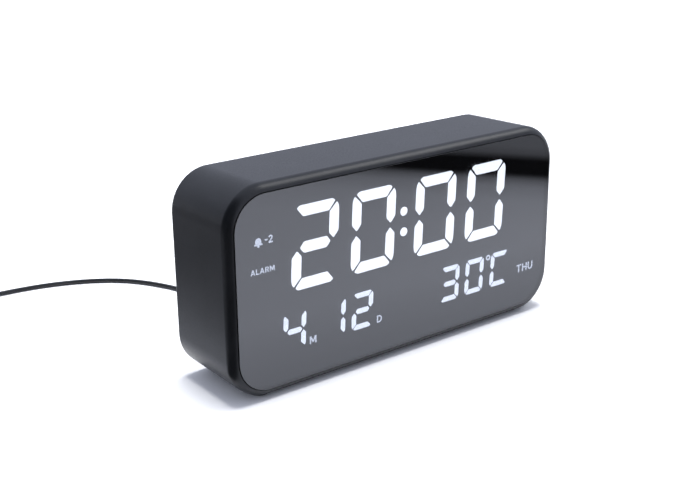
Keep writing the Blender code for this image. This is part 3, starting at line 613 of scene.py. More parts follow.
LENS_INSET = 0.0031
LENS_T = 0.002
LENS_EASE = 0.00012
lens_rings = [
    case_ring(front_y + y, LENS_INSET + inset, False) for inset, y in edge_arc(LENS_EASE, 90.0, 0.0, 4)
]
lens_rings.append(case_ring(front_y + LENS_T, LENS_INSET, False))
lens = closed(loft("smoked_lens", lens_rings))
smoke, add, place = new_material("smoked_half_mirror_acrylic")
# Dark clear sheet under a half-mirror coat: together they return about a seventh of the light, so
# the pale table shows grey in it, and dim what shines through. Handling leaves the gloss a little uneven.
smoke_haze = add("TexNoise", Vector=place, Scale=45.0, Detail=3.0)
smoke_gloss = add("MapRange", Value=smoke_haze, From_Min=0.35, From_Max=0.7, To_Min=0.012, To_Max=0.03)
smoke_shader = add(
    "BsdfPrincipled", Base_Color="#6d7076", Roughness=smoke_gloss, IOR=1.49, Transmission_Weight=1.0,
    Coat_Weight=1.0, Coat_Roughness=0.012, Coat_IOR=1.76
)
add("OutputMaterial", Surface=smoke_shader)
sawn, add, place = new_material("sawn_acrylic_edge")
# The cut edge keeps its saw marks, so it looks dull against the polished face.
# Its near-black colour is painted shade for the narrow gap round the lens.
saw_marks = add("TexNoise", Vector=place, Scale=3000.0, Detail=2.0)
sawn_relief = add("Bump", Height=saw_marks, Distance=0.00003)
sawn_shader = add("BsdfPrincipled", Base_Color="#08090a", Roughness=0.7, Normal=sawn_relief)
add("OutputMaterial", Surface=sawn_shader)
dress(lens, smoke, "clock", "lens_smoked", "front_lens")
lens.data.materials.append(sawn)
for face in lens.data.polygons:
    face.material_index = 0 if abs(face.normal.y) > 0.95 else 1

# Closed-cell foam, 0.4 mm cells, dull black.
foam = celled("closed_cell_foam_tape", 2500.0, "#0c0c0d", "#191919", 0.0001, Roughness=0.92)


def repaint(material, *names):
    """Give CAD nodes that stay in view, or stay hidden inside, their material."""
    for name in names:
        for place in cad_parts[name].material_slots:
            place.material = material


repaint(foam, "lens_tape")


def plate(name, outline, holes, y0, y1, ease=0.0):
    """A flat plate in X and Z between two depths, with holes through it and eased edges."""
    drawn = bpy.data.curves.new(name, "CURVE")
    drawn.dimensions, drawn.fill_mode = "2D", "BOTH"
    drawn.extrude = (y1 - y0) / 2 - ease
    drawn.bevel_depth, drawn.offset, drawn.bevel_resolution = ease, -ease, 2
    for points in [outline, *holes]:
        spline = drawn.splines.new("POLY")
        spline.points.add(len(points) - 1)
        spline.use_cyclic_u = True
        for point, (x, z) in zip(spline.points, points):
            point.co = (x, z, 0.0, 1.0)
    pattern = show(name + "_drawn", drawn)
    mesh = bpy.data.meshes.new_from_object(pattern)
    bpy.data.objects.remove(pattern)
    mesh.transform(Matrix.Translation((0.0, (y0 + y1) / 2, 0.0)) @ Matrix.Rotation(pi / 2, 4, "X"))
    return show(name, mesh)


# A black border is printed on the sheet's back, so that the tape and the seat don't show through.
BORDER_IN, BORDER_R, PRINT_GAP = 0.0084, 0.0146, 0.0002
black_ink = moulded("printed_black_ink", "#030303", "#050506", 0.8, 0.4, 0.0)
lens_back_y = front_y + LENS_T
border = plate(
    "lens_border_print", inside(LENS_INSET + PRINT_GAP, CORNER_R - LENS_INSET), [inside(BORDER_IN, BORDER_R)],
    lens_back_y + 0.00004, lens_back_y + 0.0001
)
dress(closed(border), black_ink, "clock", "mask_black")

# --------------------------------------
# Readout
# White light-emitting bars behind a black printed mask with a window for each
# lit mark. A diffuser film and a white light guide spread the light.

TIME_DIGITS = ((-0.0437, "2"), (-0.0161, "0"), (0.0155, "0"), (0.0431, "0"))
TIME_Z, TIME_SIZE = 0.0554, (0.0212, 0.0322, 0.0043)
COLON_X, COLON_R, COLON_REACH = -0.0009, 0.00175, 0.00418
DATE_DIGITS = ((-0.0539, "4"), (-0.0352, "1"), (-0.0217, "2"))
TEMPERATURE_DIGITS = ((0.0242, "3"), (0.038, "0"), (0.0525, "C"))
SMALL_Z, SMALL_SIZE = 0.02375, (0.0103, 0.015, 0.0021)
SLANT = 0.05
LIT_BARS = {
    "0": "top upper_right lower_right bottom lower_left upper_left", "1": "upper_right lower_right",
    "2": "top upper_right middle lower_left bottom", "3": "top upper_right middle lower_right bottom",
    "4": "upper_left middle upper_right lower_right", "C": "top upper_left lower_left bottom"
}
mask_y, mask_back_y = lens_back_y + 0.0003, lens_back_y + 0.0006
lit_y = lens_back_y + 0.00022


def eased(points, radius, steps=3):
    """An outline with each corner rounded where its sides are long enough."""
    made = []
    for i, point in enumerate(points):
        before, here, after = (Vector(points[(i + k) % len(points)]) for k in (-1, 0, 1))
        room = min((before - here).length, (after - here).length) * 0.45
        reach = min(radius, room)
        start = here + (before - here).normalized() * reach
        end = here + (after - here).normalized() * reach
        for k in range(steps + 1):
            t = k / steps
            made.append(tuple(start * (1 - t) ** 2 + here * 2 * t * (1 - t) + end * t**2))
    return made


def digit_bars(centre, size, figure):
    """The outlines of a figure's lit bars, leaning a little to the right."""
    a, b, t = size[0] / 2, size[1] / 2, size[2]
    top = [
        (-a + 0.44 * t, b - 0.22 * t), (-a + 0.74 * t, b), (a - 0.74 * t, b), (a - 0.44 * t, b - 0.22 * t),
        (a - 1.1 * t, b - t), (-a + 1.1 * t, b - t)
    ]
    side = [
        (-a + 0.23 * t, b - 0.35 * t), (-a + 0.05 * t, b - 0.7 * t), (-a, b - 1.07 * t), (-a, 0.81 * t),
        (-a + 0.53 * t, 0.21 * t), (-a + 1.01 * t, 0.74 * t), (-a + 1.01 * t, b - 1.12 * t)
    ]
    across = [
        (-a + 0.85 * t, 0.0), (-a + 1.26 * t, 0.5 * t), (a - 1.26 * t, 0.5 * t), (a - 0.85 * t, 0.0),
        (a - 1.26 * t, -0.5 * t), (-a + 1.26 * t, -0.5 * t)
    ]
    shapes = {
        "top": top, "upper_left": side, "middle": across, "upper_right": [(-x, z) for x, z in side],
        "bottom": [(x, -z) for x, z in top], "lower_right": [(-x, -z) for x, z in side],
        "lower_left": [(x, -z) for x, z in side]
    }
    return [
        eased([(centre[0] + x + SLANT * z, centre[1] + z) for x, z in shapes[bar]], 0.1 * t)
        for bar in LIT_BARS[figure].split()
    ]


colon = [circle(COLON_R, (COLON_X, TIME_Z + side * COLON_REACH), 32) for side in (-1, 1)]
readout = {
    "lit_time": [bar for x, f in TIME_DIGITS for bar in digit_bars((x, TIME_Z), TIME_SIZE, f)] + colon,
    "lit_date": [bar for x, f in DATE_DIGITS for bar in digit_bars((x, SMALL_Z), SMALL_SIZE, f)],
    "lit_temperature": [bar for x, f in TEMPERATURE_DIGITS
    for bar in digit_bars((x, SMALL_Z), SMALL_SIZE, f)]
}
MASK_GAP = 0.0003
mask_outline = inside(WINDOW_INSET + MASK_GAP, WINDOW_R - MASK_GAP)
mask = plate("readout_mask", mask_outline, sum(readout.values(), []), mask_y, mask_back_y)
dress(closed(mask), black_ink, "clock", "mask_black", "display_mask")


def lit_film(name, tint, edge_tint, strength):
    """Diffuser film lit from behind: an even cool white, a little dimmer between the light sources."""
    material, add, place = new_material(name)
    cloud = add("TexNoise", Vector=place, Scale=240.0, Detail=1.0)
    glow = add("Mix", Factor=cloud, A=tint, B=edge_tint, data_type="RGBA")
    shader = add(
        "BsdfPrincipled", Base_Color="#d8dbe0", Roughness=0.6, Emission_Color=glow,
        Emission_Strength=strength
    )
    add("OutputMaterial", Surface=shader)
    return material


time_glow = lit_film("lit_film_time", "#ffffff", "#f8faff", 8.0)
small_glow = lit_film("lit_film_small", "#f8faff", "#eaf0ff", 6.5)
for name, outlines in readout.items():
    marks = joined(name, [plate("mark", outline, [], lit_y, mask_back_y) for outline in outlines])
    glow = time_glow if name == "lit_time" else small_glow
    dress(closed(marks), glow, "clock", "diffuser_white")


def bend(centre, radii, start, end, steps=10):
    """Points on part of an ellipse, from start to end in degrees."""
    angles = (radians(start + (end - start) * i / steps) for i in range(steps + 1))
    return [(centre[0] + radii[0] * cos(a), centre[1] + radii[1] * sin(a)) for a in angles]


# Plain bold capitals one unit high: width, outline and holes.
LETTERS = {
    "-": (0.46, [(0, 0.42), (0.46, 0.42), (0.46, 0.59), (0, 0.59)], []),
    "2": (0.72, bend((0.35, 0.69), (0.35, 0.31), 170, -35)
    + [(0.28, 0.18), (0.72, 0.18), (0.72, 0), (0, 0), (0, 0.15)]
    + bend((0.35, 0.69), (0.16, 0.13), -35, 170), []),
    "A": (0.88, [(0, 0), (0.33, 1), (0.55, 1), (0.88, 0), (0.69, 0), (0.62, 0.23), (0.26, 0.23),
    (0.19, 0)], [[(0.31, 0.39), (0.57, 0.39), (0.44, 0.8)]]),
    "D": (0.82, [(0, 0), (0, 1)] + bend((0.34, 0.5), (0.48, 0.5), 90, -90),
    [[(0.18, 0.17), (0.18, 0.83)] + bend((0.34, 0.5), (0.29, 0.33), 90, -90)]),
    "H": (0.8, [(0, 0), (0, 1), (0.18, 1), (0.18, 0.59), (0.62, 0.59), (0.62, 1), (0.8, 1),
    (0.8, 0), (0.62, 0), (0.62, 0.42), (0.18, 0.42), (0.18, 0)], []),
    "L": (0.66, [(0, 0), (0, 1), (0.18, 1), (0.18, 0.17), (0.66, 0.17), (0.66, 0)], []),
    "M": (0.98, [(0, 0), (0, 1), (0.22, 1), (0.49, 0.45), (0.76, 1), (0.98, 1), (0.98, 0),
    (0.81, 0), (0.81, 0.66), (0.56, 0.18), (0.42, 0.18), (0.17, 0.66), (0.17, 0)], []),
    "R": (0.78, [(0, 0), (0, 1)] + bend((0.44, 0.71), (0.3, 0.29), 90, -70)
    + [(0.78, 0), (0.57, 0), (0.36, 0.41), (0.18, 0.41), (0.18, 0)],
    [[(0.18, 0.58), (0.18, 0.84)] + bend((0.43, 0.71), (0.13, 0.13), 90, -90)]),
    "T": (0.78, [(0, 0.83), (0, 1), (0.78, 1), (0.78, 0.83), (0.48, 0.83), (0.48, 0), (0.3, 0),
    (0.3, 0.83)], []),
    "U": (0.8, [(0, 1), (0.18, 1)] + bend((0.4, 0.39), (0.22, 0.22), 180, 360)
    + [(0.62, 1), (0.8, 1)] + bend((0.4, 0.39), (0.4, 0.4), 0, -180), [])
}
LETTER_GAP = 0.17


def word(text, x, z, wide, high):
    """A word in plain bold capitals that fills a box of this size about a centre, behind the lens."""
    total = sum(LETTERS[letter][0] for letter in text) + LETTER_GAP * (len(text) - 1)
    made, start = [], 0.0
    for letter in text:
        advance, *shapes = LETTERS[letter]
        outline, *holes = [
            [(x + ((start + u) / total - 0.5) * wide, z + (v - 0.5) * high) for u, v in shape]
            for shape in (shapes[0], *shapes[1])
        ]
        made.append(plate("letter", outline, holes, lit_y, mask_y))
        start += advance + LETTER_GAP
    return made


BELL = (-0.0687, 0.0617)
bell_dome = [
    (BELL[0] + 0.0013 * cos(a), BELL[1] - 0.0001 + 0.0015 * sin(a))
    for a in (pi * i / 14 for i in range(15))
]
bell_dome += [(BELL[0] - 0.0013, BELL[1] - 0.0008), (BELL[0] + 0.0013, BELL[1] - 0.0008)]
bell_rim = rounded(0.0018, 0.00028, 0.00026, (BELL[0], BELL[1] - 0.00115), 4)
bell_clapper = circle(0.00042, (BELL[0], BELL[1] - 0.0018), 16)
DEGREE = (0.0459, 0.03)
degree_sign = circle(0.00125, DEGREE, 32), [circle(0.00055, DEGREE, 24)]
marks = (bell_dome, []), (bell_rim, []), (bell_clapper, []), degree_sign
labels = [plate("mark", outline, holes, lit_y, mask_y) for outline, holes in marks]
for text, *box in (
    ("-2", -0.0642, 0.0618, 0.0034, 0.0029), ("ALARM", -0.0672, 0.0506, 0.0103, 0.0021),
    ("M", -0.0456, 0.01796, 0.0031, 0.003), ("D", -0.0132, 0.01796, 0.0025, 0.003),
    ("THU", 0.0682, 0.0208, 0.0098, 0.0035)
):
    labels += word(text, *box)
label_glow = lit_film("lit_film_labels", "#eef3ff", "#e4eaf8", 4.6)
dress(closed(joined("lit_labels", labels)), label_glow, "clock", "diffuser_white")

# Behind the mask: film, light guide and board, all out of sight.
repaint(moulded("matt_diffuser_film", "#e2e4e8", "#eceef1", 0.55, 0.4, 0.004), "diffuser_sheet")
repaint(moulded("white_light_guide", "#e4e4df", "#eeeeea", 0.5, 0.6, 0.01), "reflector_frame")

board_green, add, place = new_material("glass_fibre_board")
# Green solder mask over glass cloth: a glossy coat with lighter lines where copper runs under it.
tracks = add(
    "TexBrick", Vector=place, Color1="#1d5b38", Color2="#206240", Mortar="#3c8a5a", Scale=260.0,
    Mortar_Size=0.03
)
cloth = add("TexNoise", Vector=place, Scale=1800.0, Detail=2.0)
board_relief = add("Bump", Height=cloth, Distance=0.00002)
board_shader = add("BsdfPrincipled", Base_Color=tracks, Roughness=0.35, Normal=board_relief)
add("OutputMaterial", Surface=board_shader)
repaint(board_green, "display_board", "key_board")
repaint(plated("zinc_plated_steel", "#9b9ea3", 0.34, 0.3), *[f"display_screw_{i}" for i in (1, 2, 3, 4)])
repaint(
    moulded("chip_epoxy", "#1b1b1d", "#232325", 0.5, 0.25, 0.004), "controller_chip", "temperature_sensor"
)
repaint(plated("aluminium_can", "#a9adb3", 0.32, 0.4), "supply_capacitor")
repaint(moulded("cream_nylon", "#ded8c6", "#e8e2d0", 0.5, 0.5, 0.006), "ribbon_header")
repaint(moulded("grey_ribbon_pvc", "#bfc2c7", "#cfd2d6", 0.45, 1.2, 0.03), "ribbon_cable")

# --------------------------------------
# Rear panel
# An ABS plate let into the back of the casing. It has the battery tray, the
# key and jack openings, slots over the speaker and vents over the sensor.

key_places = {name: middle("key_" + name)[::2] for name in ("set", "up", "down", "alarm", "light")}
KEY_LONG, KEY_HIGH = 0.011, 0.005
SPEAKER = middle("speaker_frame")[::2]
SLOT_REACH, SLOT_PITCH, SLOT_HIGH = 0.0112, 0.0031, 0.0015
VENTS = ((-0.061, 0.0105), (-0.061, 0.0131), (-0.061, 0.0157))
JACK_HOLE_R = 0.0041
PANEL_EASE = 0.00025


def stadium(centre, long, high, steps=10):
    """A slot with round ends."""
    radius = high / 2
    points = []
    for side in (1, -1):
        for i in range(2 * steps + 1):
            angle = pi * (i / (2 * steps) - 0.5)
            along = side * (long / 2 - radius + radius * cos(angle))
            points.append((centre[0] + along, centre[1] + side * radius * sin(angle)))
    return points


panel_holes = [stadium(place, KEY_LONG + 0.0006, KEY_HIGH + 0.0006) for place in key_places.values()]
panel_holes += [circle(0.0016, place, 24) for place in screw_places]
panel_holes.append(circle(JACK_HOLE_R, (jack_x, jack_z), 48))
panel_holes += [stadium(place, 0.009, 0.0013, 5) for place in VENTS]
for row in range(-3, 4):
    rise = row * SLOT_PITCH
    long = 2 * sqrt(SLOT_REACH**2 - rise**2)
    panel_holes.append(stadium((SPEAKER[0], SPEAKER[1] + rise), long, SLOT_HIGH, 5))
panel_less = WALL + 0.0003 + DRAFT * (panel_out_y - front_y - FRONT_R)
panel_outline = inside(panel_less, CORNER_R - panel_less)
panel = plate("rear_panel", panel_outline, panel_holes, panel_in_y, panel_out_y, PANEL_EASE)

BATTERY = (0.034, 0.03)
TRAY_HALF_W, TRAY_HALF_H, TRAY_WALL = 0.0245, 0.0113, 0.0014
CELL_R = 0.00525
DOOR_T, GAP = 0.0016, 0.0003
TONGUE_X, SEAT_DEEP, OUTSIDE_Y = 0.015, 0.0012, 0.03
tray_floor_y = panel_out_y - DOOR_T - GAP - 2 * CELL_R - 0.0006
rebate_y = panel_out_y - DOOR_T - GAP
rebate_low_z = BATTERY[1] - TRAY_HALF_H - TRAY_WALL


def about_battery(name, half_w, half_h, y0, y1):
    """A block centred on the battery tray, between two depths."""
    x, z = BATTERY
    return block(name, (x - half_w, y0, z - half_h), (x + half_w, y1, z + half_h))


def battery_block(name, across, half_w, low, high):
    """A block to one side of the tray's middle, between two pairs of depth and height."""
    x = BATTERY[0] + across
    return block(name, (x - half_w, *low), (x + half_w, *high))


tongue_pockets = [
    battery_block(
        "pocket", side * TONGUE_X, 0.0043, (rebate_y - 0.002, rebate_low_z - 0.0016),
        (panel_out_y - 0.0006, BATTERY[1] - TRAY_HALF_H + 0.0004)
    )
    for side in (-1, 1)
]
seat_profile = [(0.0026, panel_out_y - SEAT_DEEP), (0.0026, OUTSIDE_Y)]
seats = [lathe("seat", seat_profile, place, 28) for place in screw_places]
rebate_half = (TRAY_HALF_W + TRAY_WALL, TRAY_HALF_H + TRAY_WALL)
carved(
    panel,
    ("UNION", about_battery("tray", *rebate_half, tray_floor_y - TRAY_WALL, panel_in_y + 0.001)),
    ("DIFFERENCE", about_battery("rebate", *rebate_half, rebate_y, OUTSIDE_Y)),
    ("DIFFERENCE", about_battery("cavity", TRAY_HALF_W, TRAY_HALF_H, tray_floor_y, rebate_y + 0.0005)),
    ("DIFFERENCE", joined("tongue_pockets", tongue_pockets)),
    ("DIFFERENCE", joined("screw_seats", seats))
)
# The panel's mould is etched coarser than the casing's, so it is a shade duller.
panel_abs = moulded("etched_black_abs", "#15171a", "#1a1c20", 0.46, 0.7, 0.03)
dress(closed(panel), panel_abs, "clock", "cover_black", "rear_cover")

# Pad-printed signs over the keys and beside the jack, in grey ink.
SIGN_Z = key_places["up"][1] + 0.0052
signs = []


def sign(outline, holes=()):
    """One printed sign on the panel's face."""
    signs.append(plate("sign", outline, holes, panel_out_y - 0.00002, panel_out_y + 0.00004))


x = key_places["set"][0]
sign(circle(0.0014, (x, SIGN_Z), 28), [circle(0.001, (x, SIGN_Z), 24)])
sign(circle(0.0004, (x, SIGN_Z), 16))
for name, way in (("up", 1), ("down", -1)):
    x = key_places[name][0]
    sign(
        [(x - 0.0015, SIGN_Z - way * 0.001), (x + 0.0015, SIGN_Z - way * 0.001), (x, SIGN_Z + way * 0.0013)]
    )
x = key_places["alarm"][0]
sign([(x + 0.75 * (u - BELL[0]), SIGN_Z + 0.0002 + 0.75 * (v - BELL[1])) for u, v in bell_dome])
sign(rounded(0.0014, 0.0002, 0.00018, (x, SIGN_Z - 0.0008), 3))
sign(circle(0.0003, (x, SIGN_Z - 0.0013), 12))
x = key_places["light"][0]
sign(circle(0.0007, (x, SIGN_Z), 20))
for i in range(8):
    way = Vector((cos(pi * i / 4), sin(pi * i / 4)))
    side = Vector((-way.y, way.x)) * 0.00012
    near, far = Vector((x, SIGN_Z)) + way * 0.001, Vector((x, SIGN_Z)) + way * 0.0016
    sign([tuple(near - side), tuple(far - side), tuple(far + side), tuple(near + side)])
sign(rounded(0.0018, 0.00015, 0.0001, (jack_x + 0.0078, jack_z + 0.0004), 2))
for shift in (-0.0013, 0.0, 0.0013):
    sign(rounded(0.0004, 0.00015, 0.0001, (jack_x + 0.0078 + shift, jack_z - 0.0004), 2))
sign_ink = moulded("grey_pad_ink", "#8f9297", "#9b9ea3", 0.6, 0.4, 0.002, 3.0)
dress(closed(joined("panel_signs", signs)), sign_ink, "clock", "ribbon_grey")

# --------------------------------------
# Screws
# Four black pan-head screws with a cross recess. They hold the rear panel to
# the casing's posts.

screw_tree, add, given = new_tree(
    "pan_head_screws", Places="Geometry", Head_radius="Float", Head_height="Float", Shank_radius="Float",
    Shank_length="Float", Cross_width="Float", Finish="Material"
)
# The head is a flattened ball cut off flat below, the recess two crossed blocks.
dome_size = add("CombineXYZ", X=given["Head radius"], Y=given["Head radius"], Z=given["Head height"])
dome = add("MeshUVSphere", Segments=32, Rings=20, Radius=1.0)
dome_set = add("Transform", Geometry=dome, Scale=dome_size)
half_head = add("Math", {0: given["Head height"], 1: 0.75}, operation="MULTIPLY")
keep_lift = add("CombineXYZ", Z=half_head)
keep = add("MeshCylinder", Vertices=32, Depth=given["Head height"], Radius=given["Head radius"])
keep_set = add("Transform", Geometry=keep, Translation=keep_lift, Scale=(0.96, 0.96, 1.5))
head = add("MeshBoolean", Mesh_2=[dome_set, keep_set], operation="INTERSECT", solver="EXACT")
cross_long = add("Math", {0: given["Head radius"], 1: 1.15}, operation="MULTIPLY")
cross_size = add("CombineXYZ", X=cross_long, Y=given["Cross width"], Z=given["Head height"])
cross_bar = add("MeshCube", Size=cross_size)
cross_lift = add("Math", {0: given["Head height"], 1: 0.85}, operation="MULTIPLY")
cross_place = add("CombineXYZ", Z=cross_lift)
bars = [
    add("Transform", Geometry=cross_bar, Translation=cross_place, Rotation=(0.0, 0.0, turn))
    for turn in (0.0, pi / 2)
]
cross = add("MeshBoolean", Mesh_2=bars, operation="UNION", solver="EXACT")
recessed = add("MeshBoolean", Mesh_1=head, Mesh_2=cross, operation="DIFFERENCE", solver="EXACT")
shank = add("MeshCylinder", Vertices=24, Depth=given["Shank length"], Radius=given["Shank radius"])
shank_half = add("Math", {0: given["Shank length"], 1: -0.5}, operation="MULTIPLY")
shank_place = add("CombineXYZ", Z=shank_half)
shank_set = add("Transform", Geometry=shank, Translation=shank_place)
screw_parts = add("JoinGeometry", Geometry=[recessed, shank_set])
points = add("MeshToPoints", Mesh=given["Places"])
screws = add("InstanceOnPoints", Points=points, Instance=screw_parts, Rotation=(-pi / 2, 0.0, 0.0))
end_tree(screw_tree, screws, given["Finish"])
seat_y = panel_out_y - SEAT_DEEP + GAP
black_zinc = plated("black_zinc_steel", "#3d3f43", 0.36, 0.3)
cover_screws = grown(
    "cover_screws", screw_tree, [(x, seat_y, z) for x, z in screw_places], Head_radius=0.0022,
    Head_height=0.0011, Shank_radius=0.00115, Shank_length=0.0088, Cross_width=0.00055, Finish=black_zinc
)
dress(cover_screws, None, "clock", "screw_dark", *screw_nodes)

# --------------------------------------
# Keys
# Five ABS keys, each a round-ended cap with a flange behind the panel and a
# switch on the key board behind it.

KEY_TOP_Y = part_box("key_up")[1].y
key_abs = moulded("satin_black_abs", "#18191b", "#1e1f22", 0.45, 0.6, 0.01)
plunger_pom = moulded("cream_acetal", "#d3d0c5", "#dedbd1", 0.42, 0.5, 0.004)
switch_nylon = moulded("dark_switch_nylon", "#313337", "#3c3e42", 0.45, 0.4, 0.006)
for name, place in key_places.items():
    rings = []
    for grow, y in (
        (0.0012, panel_in_y - 0.001), (0.0012, panel_in_y - 0.0002), (0.0, panel_in_y - 0.0002),
        (0.0, KEY_TOP_Y - 0.0006), (-0.00015, KEY_TOP_Y - 0.00025), (-0.0004, KEY_TOP_Y - 0.00005),
        (-0.0008, KEY_TOP_Y), (-0.0016, KEY_TOP_Y - 0.00012)
    ):
        rings.append(stood(stadium(place, KEY_LONG + 2 * grow, KEY_HIGH + 2 * grow, 10), y))
    dress(closed(loft(f"{name}_key_cap", rings)), key_abs, f"{name}_button", "key_black", f"key_{name}")
    repaint(plunger_pom, f"plunger_{name}")
    repaint(switch_nylon, f"switch_{name}")

# --------------------------------------
# Speaker, jack and sensor
# A 28 mm speaker with a pressed steel basket and a doped paper cone shows
# through the slots. The supply jack is a nylon block with a centre pin.

speaker_y = panel_in_y - GAP
BASKET = (
    (0.014, 0), (0.014, -0.0012), (0.0125, -0.0014), (0.0115, -0.0034), (0.007, -0.0046),
    (0.0058, -0.0046), (0.0058, -0.0038), (0.0068, -0.0038), (0.0108, -0.0028), (0.012, -0.0008),
    (0.013, 0)
)
basket_steel = plated("pressed_steel", "#6f7277", 0.42, 0.6)
basket = lathe("speaker_basket", [(r, speaker_y + y) for r, y in BASKET], SPEAKER, 64, True)
dress(closed(basket), basket_steel, "clock", "speaker_steel", "speaker_frame")
CONE = (
    (0.0002, -0.0008), (0.002, -0.0008), (0.0048, -0.0014), (0.0062, -0.0024), (0.011, -0.0008),
    (0.0117, -0.0004), (0.0115, -0.0001), (0.0112, -0.0003), (0.0062, -0.0019), (0.005, -0.001),
    (0.002, -0.0004), (0.0002, -0.0004)
)
cone_paper = moulded("doped_paper_cone", "#26282d", "#32343a", 0.6, 0.5, 0.03, 4.0)
cone = lathe("speaker_diaphragm", [(r, speaker_y + y) for r, y in CONE], SPEAKER, 64, False)
dress(closed(cone), cone_paper, "clock", "cone_dark", "speaker_cone")
repaint(plated("magnet_steel", "#85888d", 0.35, 0.6), "speaker_magnet")
repaint(moulded("jack_nylon", "#1b1c1f", "#232427", 0.45, 0.4, 0.006), "power_jack")

# --------------------------------------
# Battery lid and cells
# An ABS lid with two tongues and a latch, which turns out on its lower edge,
# over two cells head to tail between a spring and a flat contact each.

lid_r = DOOR_T / 2
lid_axis_y = panel_out_y - lid_r
lid_axis_z = rebate_low_z + GAP + lid_r
lid_half = TRAY_HALF_W + TRAY_WALL - GAP
lid_top = BATTERY[1] + TRAY_HALF_H + TRAY_WALL - GAP
lid_profile = [(lid_axis_y - lid_r, lid_top), (lid_axis_y + lid_r, lid_top)]
lid_profile += [
    (lid_axis_y + lid_r * cos(a), lid_axis_z - lid_r * sin(a)) for a in (pi * i / 14 for i in range(15))
]
lid = loft(
    "battery_lid_plate", [[(BATTERY[0] + s * lid_half, y, z) for y, z in lid_profile] for s in (-1, 1)]
)
lid_edge = lid.modifiers.new("eased edges", "BEVEL")
lid_edge.width, lid_edge.segments = 0.0003, 3
lid_edge.limit_method, lid_edge.angle_limit = "ANGLE", radians(50)
closed(lid)
lid_tabs = [
    battery_block(
        "tab", side * TONGUE_X, 0.004, (lid_axis_y - lid_r + 0.0001, lid_axis_z - 0.0021),
        (lid_axis_y - lid_r + 0.0008, lid_axis_z + 0.0006)
    )
    for side in (-1, 1)
]
latch_top = BATTERY[1] + TRAY_HALF_H - 0.0003
latch_low = (lid_axis_y - 0.0028, latch_top - 0.0008)
lid_tabs.append(battery_block("tab", 0.0, 0.006, latch_low, (lid_axis_y, latch_top)))
grips = []
for row in range(3):
    groove = stadium((BATTERY[0], lid_top - 0.003 - row * 0.0015), 0.014, 0.0008, 5)
    grips.append(loft("grip", [stood(groove, panel_out_y - 0.0005), stood(groove, OUTSIDE_Y)]))
arrow_z = lid_top - 0.0095
arrow_outline = [
    (BATTERY[0] - 0.0022, arrow_z + 0.0012), (BATTERY[0], arrow_z - 0.0014),
    (BATTERY[0] + 0.0022, arrow_z + 0.0012)
]
arrow = loft("arrow", [stood(arrow_outline, panel_out_y - 0.0003), stood(arrow_outline, OUTSIDE_Y)])
carved(
    lid, ("UNION", joined("lid_tabs", lid_tabs)), ("DIFFERENCE", joined("lid_grips", grips)),
    ("DIFFERENCE", arrow)
)
dress(closed(lid), panel_abs, "battery_lid", "cover_black", "battery_door")

CELL_PROFILE = (
    (0.003, 0.0003), (0.004, 0), (0.0048, 0.0001), (0.0052, 0.0004), (CELL_R, 0.0009), (CELL_R, 0.0425),
    (0.0051, 0.0429), (0.0046, 0.0432), (0.0021, 0.0434), (0.0019, 0.0436), (0.0019, 0.0441),
    (0.0017, 0.0444), (0.0012, 0.0445)
)
sleeve, add, place = new_material("printed_cell_sleeve")
# Shrunk PVC sleeve, dark grey with a copper band at the plus end. The band's edge follows the cell's length.
along = add("UVMap", uv_map="length")
band_at = add("SeparateXYZ", Vector=along)
band = add("Math", {0: band_at.outputs["X"], 1: 0.72}, operation="GREATER_THAN")
bare = add("Math", {0: band_at.outputs["X"], 1: 0.968}, operation="GREATER_THAN")
sleeve_ink = add("Mix", Factor=band, A="#26282c", B="#a8642f", data_type="RGBA")
sleeve_tone = add("Mix", Factor=bare, A=sleeve_ink, B="#b9bbbf", data_type="RGBA")
sleeve_scuff = add("TexNoise", Vector=place, Scale=500.0, Detail=4.0)
sleeve_gloss = add("MapRange", Value=sleeve_scuff, To_Min=0.2, To_Max=0.4)
sleeve_shader = add(
    "BsdfPrincipled", Base_Color=sleeve_tone, Roughness=sleeve_gloss, Metallic=0.6, Coat_Weight=0.3,
    Coat_Roughness=0.15
)
add("OutputMaterial", Surface=sleeve_shader)
CELL_LONG = CELL_PROFILE[-1][1]
for number in (1, 2):
    low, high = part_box(f"battery_cell_{number}")
    centre = middle(f"battery_cell_{number}")[1:]
    start, way = (low.x, 1) if number == 1 else (high.x, -1)
    rings = [[(start + way * x, u, v) for u, v in circle(r, centre, 40)] for r, x in CELL_PROFILE]
    cell = closed(loft(f"cell_{number}", rings))
    length = cell.data.uv_layers.new(name="length")
    for corner in cell.data.loops:
        far = way * (cell.data.vertices[corner.vertex_index].co.x - start) / CELL_LONG
        length.data[corner.index].uv = (far, 0.5)
    dress(cell, sleeve, "clock", "cell_silver", f"battery_cell_{number}")

# The springs: one conical coil of nickel-plated wire behind each cell's flat end.
spring_tree, add, given = new_tree(
    "cell_spring", Turns="Float", Wide_radius="Float", Narrow_radius="Float", Length="Float",
    Wire_radius="Float", Place="Vector", Facing="Vector", Finish="Material"
)
helix = add(
    "CurveSpiral", Resolution=20, Rotations=given["Turns"], Start_Radius=given["Wide radius"],
    End_Radius=given["Narrow radius"], Height=given["Length"]
)
wire = add("CurvePrimitiveCircle", Resolution=8, Radius=given["Wire radius"])
wound = add("CurveToMesh", Curve=helix, Profile_Curve=wire, Fill_Caps=True)
placed = add("Transform", Geometry=wound, Translation=given["Place"], Rotation=given["Facing"])
end_tree(spring_tree, placed, given["Finish"])
for number in (1, 2):
    low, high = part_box(f"battery_spring_{number}")
    way = 1 if number == 1 else -1
    spring = grown(
        f"cell_spring_{number}", spring_tree, Turns=3.5, Wide_radius=0.0036, Narrow_radius=0.0018,
        Length=high.x - low.x - 0.0005, Wire_radius=0.00024,
        Place=((low.x if way > 0 else high.x) + way * 0.00025, *middle(f"battery_spring_{number}")[1:]),
        Facing=(0.0, way * pi / 2, 0.0), Finish=nickel
    )
    dress(spring, None, "clock", "contact_nickel", f"battery_spring_{number}")
repaint(nickel, "battery_plate", "battery_bridge")

# --------------------------------------
# Feet
# Four round feet of soft black rubber, glued into shallow pockets.

